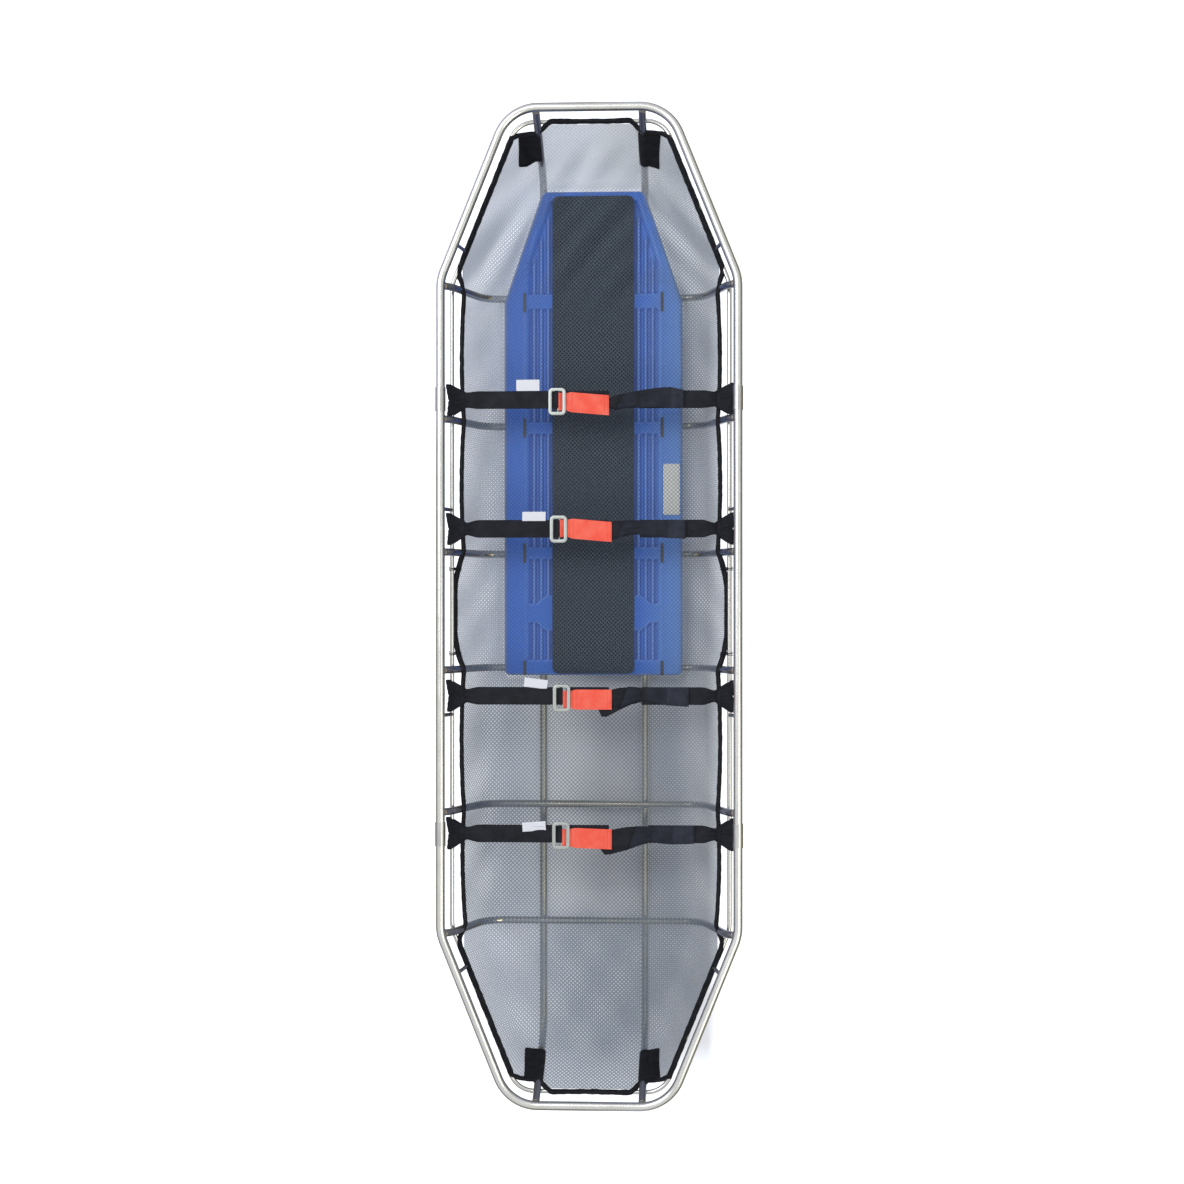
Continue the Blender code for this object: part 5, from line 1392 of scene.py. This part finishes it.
TAKEN_UP = (
    (((0.086, -0.0172), (0.110, -0.0168), (0.146, -0.0176), (0.173, -0.0195), (0.196, -0.0187)),
     ((0.086, 0.0150), (0.110, 0.0200), (0.146, 0.0245), (0.173, 0.0256), (0.196, 0.0206))),
    (((0.086, -0.0135), (0.102, -0.0121), (0.130, -0.0170), (0.165, -0.0205), (0.200, -0.0222)),
     ((0.086, 0.0176), (0.102, 0.0180), (0.130, 0.0184), (0.165, 0.0186), (0.200, 0.0184))),
    (((0.098, -0.0110), (0.119, -0.0092), (0.140, -0.0150), (0.162, -0.0195), (0.207, -0.0225)),
     ((0.098, 0.0178), (0.119, 0.0176), (0.140, 0.0190), (0.162, 0.0194), (0.207, 0.0182))),
    (((0.118, -0.0180), (0.131, -0.0170), (0.150, -0.0195), (0.175, -0.0211), (0.218, -0.0198)),
     ((0.118, 0.0160), (0.131, 0.0163), (0.150, 0.0180), (0.175, 0.0190), (0.218, 0.0185))))
# The broad ends that hang out below the tabs of the two lower straps, in the same form
LOOSE = {
    2: (((0.0245, -0.0451), (0.036, -0.0446), (0.063, -0.0300), (0.095, -0.0150)),
        ((0.0158, -0.0280), (0.030, -0.0150), (0.063, -0.0100), (0.095, 0.0000))),
    3: (((0.0303, -0.0453), (0.042, -0.0446), (0.078, -0.0350), (0.112, -0.0225)),
        ((0.0190, -0.0300), (0.032, -0.0150), (0.078, -0.0100), (0.112, -0.0050)))}


def between_edges(edges, y, lifts, thickness, pleat, bow, count=24):
    """Stations of a layer of webbing between a low and a high edge; lifts gives its height along them."""
    low, high = (np.array(edge) for edge in edges)
    knots = np.linspace(0, 1, len(low))
    stations = []
    for number in range(count + 1):
        share = number / count
        ends = []
        for edge in (low, high):
            ends.append(Vector((float(np.interp(share, knots, edge[:, 0])),
                                y + float(np.interp(share, knots, edge[:, 1])), 0)))
        across = ends[1] - ends[0]
        lift = float(np.interp(share, np.linspace(0, 1, len(lifts)), lifts))
        centre = (ends[0] + ends[1]) / 2 + Vector((0, 0, lift))
        stations.append((centre, across.normalized(), UP, across.length / 2, thickness, pleat, bow))
    return stations


def folded_webbing(index, y, middle):
    """The turn past the red tab, the layer that crosses it and the take-up that ends in a rolled fold."""
    turned = between_edges(TURNED[index], y, [middle + lift for lift in (0, 0.0010, 0.0014, 0.0016)],
                           WEBBING, 0.0005, 0.0006)
    crossed = between_edges(CROSSED[index], y, [middle + lift for lift in (0.0040, 0.0050, 0.0038)],
                            0.0018, 0.0010, 0.0030)
    thin = WEBBING * 0.8
    taken = between_edges(TAKEN_UP[index], y,
                          [middle + lift for lift in (0.0034, 0.0040, 0.0054, 0.0068, 0.0076)],
                          thin, 0.0002, 0.0010, count=34)
    end, half = taken[-1][0], taken[-1][3]
    fold = 0.0036
    for degrees in (25, 55, 85, 115, 145, 170):
        turn = math.radians(degrees)
        centre = end + Vector((fold * math.sin(turn), 0, fold * (math.cos(turn) - 1)))
        up = Vector((math.sin(turn), 0, math.cos(turn)))
        taken.append((centre, ACROSS, up, half, thin, 0.0, 0.0008))
    # The crossing layer and the middle of the take-up are painted lighter, and the roll gets a painted
    # highlight
    return [ribbon(turned, BLACK_WEBBING), ribbon(crossed, BLACK_PAINTED_LIGHTER), ribbon(taken[:9], BLACK_WEBBING),
            ribbon(taken[8:27], BLACK_PAINTED_LIGHTER), ribbon(taken[26:], BLACK_FOLD_HIGHLIGHT)]


def loose_end(index, y, middle):
    """The broad end of the webbing that hangs out below the red tab and runs up into the turn."""
    lifts = [middle - lift for lift in (0.0030, 0.0027, 0.0022, 0.0016)]
    return ribbon(between_edges(LOOSE[index], y, lifts, 0.0020, 0.0003, 0.0006), BLACK_WEBBING)


def make_right_strap(index, y):
    """Right webbing: under the tab, turned, folded back on itself, then plain to its hitch."""
    name = "strap_%d" % (index + 1)
    start_x = BUCKLE_XS[index] + 0.014
    middle = RIGHT_LOW + WEBBING / 2
    throat = THROATS[index][1]
    stations = []
    for number in range(15):
        x = start_x + (0.040 - start_x) * number / 14
        stations.append((Vector((x, y, middle)), ACROSS, UP, WEBBING_WIDTH / 2, WEBBING, 0.0, 0.0))
    parts = [ribbon(stations, BLACK_WEBBING)]
    parts += folded_webbing(index, y, middle)
    parts.append(ribbon(strap_stations(RING_X, TURNED[index][0][-1][0] - 0.006, y, RIGHT_LOW, throat),
                        BLACK_WEBBING))
    if index in LOOSE:
        parts.append(loose_end(index, y, middle))
    parts += hitch_parts(RING_X, y, throat)
    joined_piece(name + "_right_band", parts, name + "_right", [name + "_right_webbing"])


for strap, strap_y in enumerate(STRAP_YS):
    make_left_strap(strap, strap_y)
    make_buckle(strap, strap_y)
    make_clasp(strap, strap_y)
    make_right_strap(strap, strap_y)


def flap_section(inner, outer):
    """Outline of one flap across the runner, as (distance outwards, height over the tube's axis, is top)."""
    leaf = [(0.0040, 0.0116, True), (0.0075, 0.0112, True), (0.0120, 0.0104, True), (0.0180, 0.0100, True),
            (0.0240, 0.0100, True), (0.0300, 0.0098, True), (outer - 0.001, 0.0094, True),
            (outer, 0.0078, True), (outer - 0.001, 0.0062, False), (0.0300, 0.0062, False),
            (0.0240, 0.0062, False), (0.0180, 0.0060, False), (0.0130, 0.0050, False),
            (0.0110, 0.0010, False), (0.0094, -0.0044, False), (0.0040, -0.0096, False),
            (-0.0020, -0.0102, False)]
    if inner < -0.009:
        return [(inner, 0.0020, True), (-0.0088, 0.0062, True), (-0.0050, 0.0096, True),
                (-0.0004, 0.0112, True), *leaf, (-0.0070, -0.0086, False), (-0.0100, -0.0040, False)]
    return [(inner, 0.0072, True), (inner + 0.0006, 0.0104, True), *leaf, (-0.0058, -0.0080, False),
            (-0.0040, -0.0040, False), (-0.0036, 0.0030, False)]


# Reach of each flap across its runner, inwards and outwards, and the lowest height of its tube and leaf
FLAPS = (("head", "left", -0.0040, 0.0450, 0.0720, 0.0440),
         ("head", "right", -0.0110, 0.0360, 0.0550, 0.0390),
         ("foot", "left", -0.0110, 0.0330, 0.0640, 0.0540),
         ("foot", "right", -0.0105, 0.0360, 0.0640, 0.0540))


def make_flaps():
    """Hook-and-loop flaps: each clasps a runner's end and lies outwards on the net as a leaf."""
    for end, side, inner, outer, tube_low, leaf_low in FLAPS:
        way, sign = 1 if end == "head" else -1, -1 if side == "left" else 1
        axis = (upright_point(0, FLAP_TOP, way) - upright_point(0, FLAP_LOW, way)).normalized()
        inward = Vector((0, -axis.z * way, abs(axis.y)))
        section = flap_section(inner, outer)
        rings = []
        for number in range(21):
            share = number / 20
            ring = []
            for out, lift, top in section:
                free = min(1.0, max(0.0, out - 0.010) / 0.026)
                low = tube_low + (leaf_low - tube_low) * free
                top_z = FLAP_TOP + (0.0 if way > 0 else 0.006)
                centre = upright_point(sign * RUNNER_X, low + (top_z - low) * share, way)
                wave = 0.0016 * free * math.sin(4.5 * share + 2 * sign + way)
                reach = out - 0.0024 * free * math.sin(3 * share + sign)
                point = centre + Vector((sign * reach, 0, 0)) + inward * (lift + wave)
                # The leaf lies on the net
                found = NET_SURFACE.ray_cast(Vector((point.x, point.y, 0.3)), Vector((0, 0, -1)))[0]
                if out > 0.010 and found is not None:
                    point.z = max(point.z, found.z + (0.0052 if top else 0.0016))
                ring.append(point)
            rings.append(ring if sign * way > 0 else ring[::-1])
        name = "flap_%s_%s" % (end, side)
        joined_piece(name + "_wrap", [lofted(rings, None, LOOP)], replaces=[name])


def keeper_tree():
    """Keepers: a block in each slot of the board, one at each point."""
    tree, given = new_tree("board_keepers", ["Width", "Height"])
    size = add_node(tree, "ShaderNodeCombineXYZ", {0: given["Width"], 1: 1.0, 2: given["Height"]})
    block = add_node(tree, "GeometryNodeMeshCube",
                     {"Size": size.outputs[0], "Vertices X": 3, "Vertices Y": 9, "Vertices Z": 3})
    stretch = add_node(tree, "ShaderNodeCombineXYZ", {0: 1.0, 1: point_value(tree, "length"), 2: 1.0})
    placed = copies(tree, base_points(tree, given), block.outputs[0], {"Scale": stretch.outputs[0]})
    return end_tree(tree, placed, given)


def make_keepers():
    places, lengths, nodes = [], [], []
    for index, y in enumerate(SLOT_YS):
        low, high = max(y - SLOT_LENGTH / 2, BOARD_FOOT_Y), y + SLOT_LENGTH / 2
        for side, x in (("left", -SLOT_X), ("right", SLOT_X)):
            places.append([Vector((x, (low + high) / 2, BOARD_TOP - 0.0076))])
            lengths.append(high - low)
            nodes.append("board_keeper_%d_%s" % (index + 1, side))
    base = path_mesh("board_keepers", places, length=lengths)
    values = {"Width": SLOT_WIDTH, "Height": 0.0182, "Material": NYLON}
    grown_piece("board_keepers", base, keeper_tree(), values, replaces=nodes)


make_flaps()
make_keepers()

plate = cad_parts["bare_plate"]
plate.data.materials.clear()
plate.data.materials.append(PLATE)


def pale_floor():
    """Matt white sweep: white to the camera, and it takes the shadow.

    Under the bed a painted mask takes away the glow the camera sees, so the rendered shadow shows there, with
    painted shade deepest in the middle and to the right. Tubes mirror it as lavender cards to the left of
    each rail and olive cards to the right."""
    material, tree, shader = start_material("matt_white_paper", "#f0f0f2", 0.9)
    x, y = (axis_of(tree, place_on(tree), axis) for axis in (0, 1))
    # Painted shade across the bed, evened out toward the foot, then kept off the ground outside and the two
    # ends
    sides = maths(tree, "MULTIPLY", spread(tree, x, -0.28, 0.02, 0.05, 1.0),
                  spread(tree, x, 0.10, 0.20, 1.0, 0.78))
    foot = spread(tree, x, -0.22, 0.20, 0.12, 0.66)
    mixed = add_node(tree, "ShaderNodeMix", {0: spread(tree, y, -0.62, -0.76), 2: sides, 3: foot},
                     data_type="FLOAT")
    across = maths(tree, "ABSOLUTE", maths(tree, "ADD", x, 0.01))
    under = mixed.outputs[0]
    for edge in (spread(tree, across, 0.262, 0.290, 1.0, 0.0), spread(tree, y, 0.58, 0.90, 1.0, 0.08),
                 spread(tree, y, -1.06, -0.97)):
        under = maths(tree, "MULTIPLY", under, edge)
    paths = add_node(tree, "ShaderNodeLightPath").outputs
    strength = maths(tree, "MULTIPLY", paths["Is Camera Ray"], spread(tree, under, 0.0, 1.0, 0.80, 0.0))
    # The glow is a little blue, so where the mask lets part of it through, the painted shade under the bed
    # turns bluish
    shader.inputs["Emission Color"].default_value = (0.90, 0.95, 1.0, 1.0)
    tree.links.new(strength, shader.inputs["Emission Strength"])
    olive = maths(tree, "MAXIMUM", spread(tree, x, -0.31, -0.29), spread(tree, y, 0.50, 0.35))
    for edge in (spread(tree, x, -0.03, 0.03, 0.0, -1.0), spread(tree, x, 0.29, 0.31)):
        olive = maths(tree, "ADD", olive, edge)
    cards = add_node(tree, "ShaderNodeEmission", {0: blend(tree, olive, "#eceffd", "#a09c80")})
    both = add_node(tree, "ShaderNodeMixShader", {0: paths["Is Glossy Ray"], 1: shader.outputs[0],
                                                  2: cards.outputs[0]})
    tree.links.new(both.outputs[0], tree.nodes["Material Output"].inputs["Surface"])
    return material


def make_stage():
    mesh = bpy.data.meshes.new("studio_floor")
    size = 12.0
    z = CAD_BOX[0].z - 0.0005
    corners = [(-size, -size, z), (size, -size, z), (size, size, z), (-size, size, z)]
    mesh.from_pydata(corners, [], [(0, 1, 2, 3)])
    mesh.materials.append(pale_floor())
    floor = bpy.data.objects.new("studio_floor", mesh)
    bpy.context.scene.collection.objects.link(floor)


def area_lamp(name, place, target, size, power, colour):
    data = bpy.data.lights.new(name, "AREA")
    data.size = size
    data.energy = power
    data.color = linear(colour)[:3]
    lamp = bpy.data.objects.new(name, data)
    lamp.location = place
    lamp.rotation_euler = (Vector(target) - Vector(place)).to_track_quat("-Z", "Y").to_euler()
    bpy.context.scene.collection.objects.link(lamp)


def make_light():
    """White room with a bright ceiling and a darker rim that tubes mirror, and two large soft lamps."""
    world = bpy.data.worlds.new("soft_studio")
    world.use_nodes = True
    tree = world.node_tree
    paths = add_node(tree, "ShaderNodeLightPath").outputs
    toward = place_on(tree, "Generated")
    # Low down, the room is pale to the left and head, and olive to the right and foot
    lean = add_node(tree, "ShaderNodeVectorMath", {0: toward, 1: (0.8, -0.6, 0.0)}, operation="DOT_PRODUCT")
    sides = blend(tree, spread(tree, lean.outputs["Value"], -0.3, 0.5), "#c9cbe2", "#6a6750")
    mirrored = blend(tree, spread(tree, axis_of(tree, toward, 2), 0.10, 0.60), sides, "#ffffff")
    # Light that falls on cloth and floor is a little blue
    room = blend(tree, paths["Is Glossy Ray"], (0.345, 0.365, 0.435, 1.0), mirrored)
    seen = blend(tree, paths["Is Camera Ray"], room, "#ffffff")
    tree.links.new(seen, tree.nodes["Background"].inputs["Color"])
    bpy.context.scene.world = world
    area_lamp("key_from_head_left", (-1.8, 1.6, 3.8), (0, 0, 0.1), 2.6, 104, "#fffdfa")
    area_lamp("fill_from_right", (2.4, -1.4, 3.2), (0, 0, 0.1), 2.4, 50, "#fff8ea")


def make_camera():
    """Camera over the right side of the stretcher, tilted to the photograph's framing."""
    data = bpy.data.cameras.new("overhead")
    data.sensor_width = 36.0
    data.lens = 54.07
    data.shift_x = -0.03
    data.shift_y = 0.015
    data.clip_end = 50.0
    camera = bpy.data.objects.new("overhead", data)
    camera.location = (0.2486, -0.0071, RAIL_Z + 3.7552)
    target = Vector((0.0824, -0.0070, RAIL_Z))
    back = (camera.location - target).normalized()
    across = Vector((0, 1, 0)).cross(back).normalized()
    camera.rotation_euler = Matrix((across, back.cross(across), back)).transposed().to_euler()
    bpy.context.scene.collection.objects.link(camera)
    bpy.context.scene.camera = camera


make_stage()
make_light()
make_camera()
bpy.context.scene.view_settings.view_transform = "Standard"
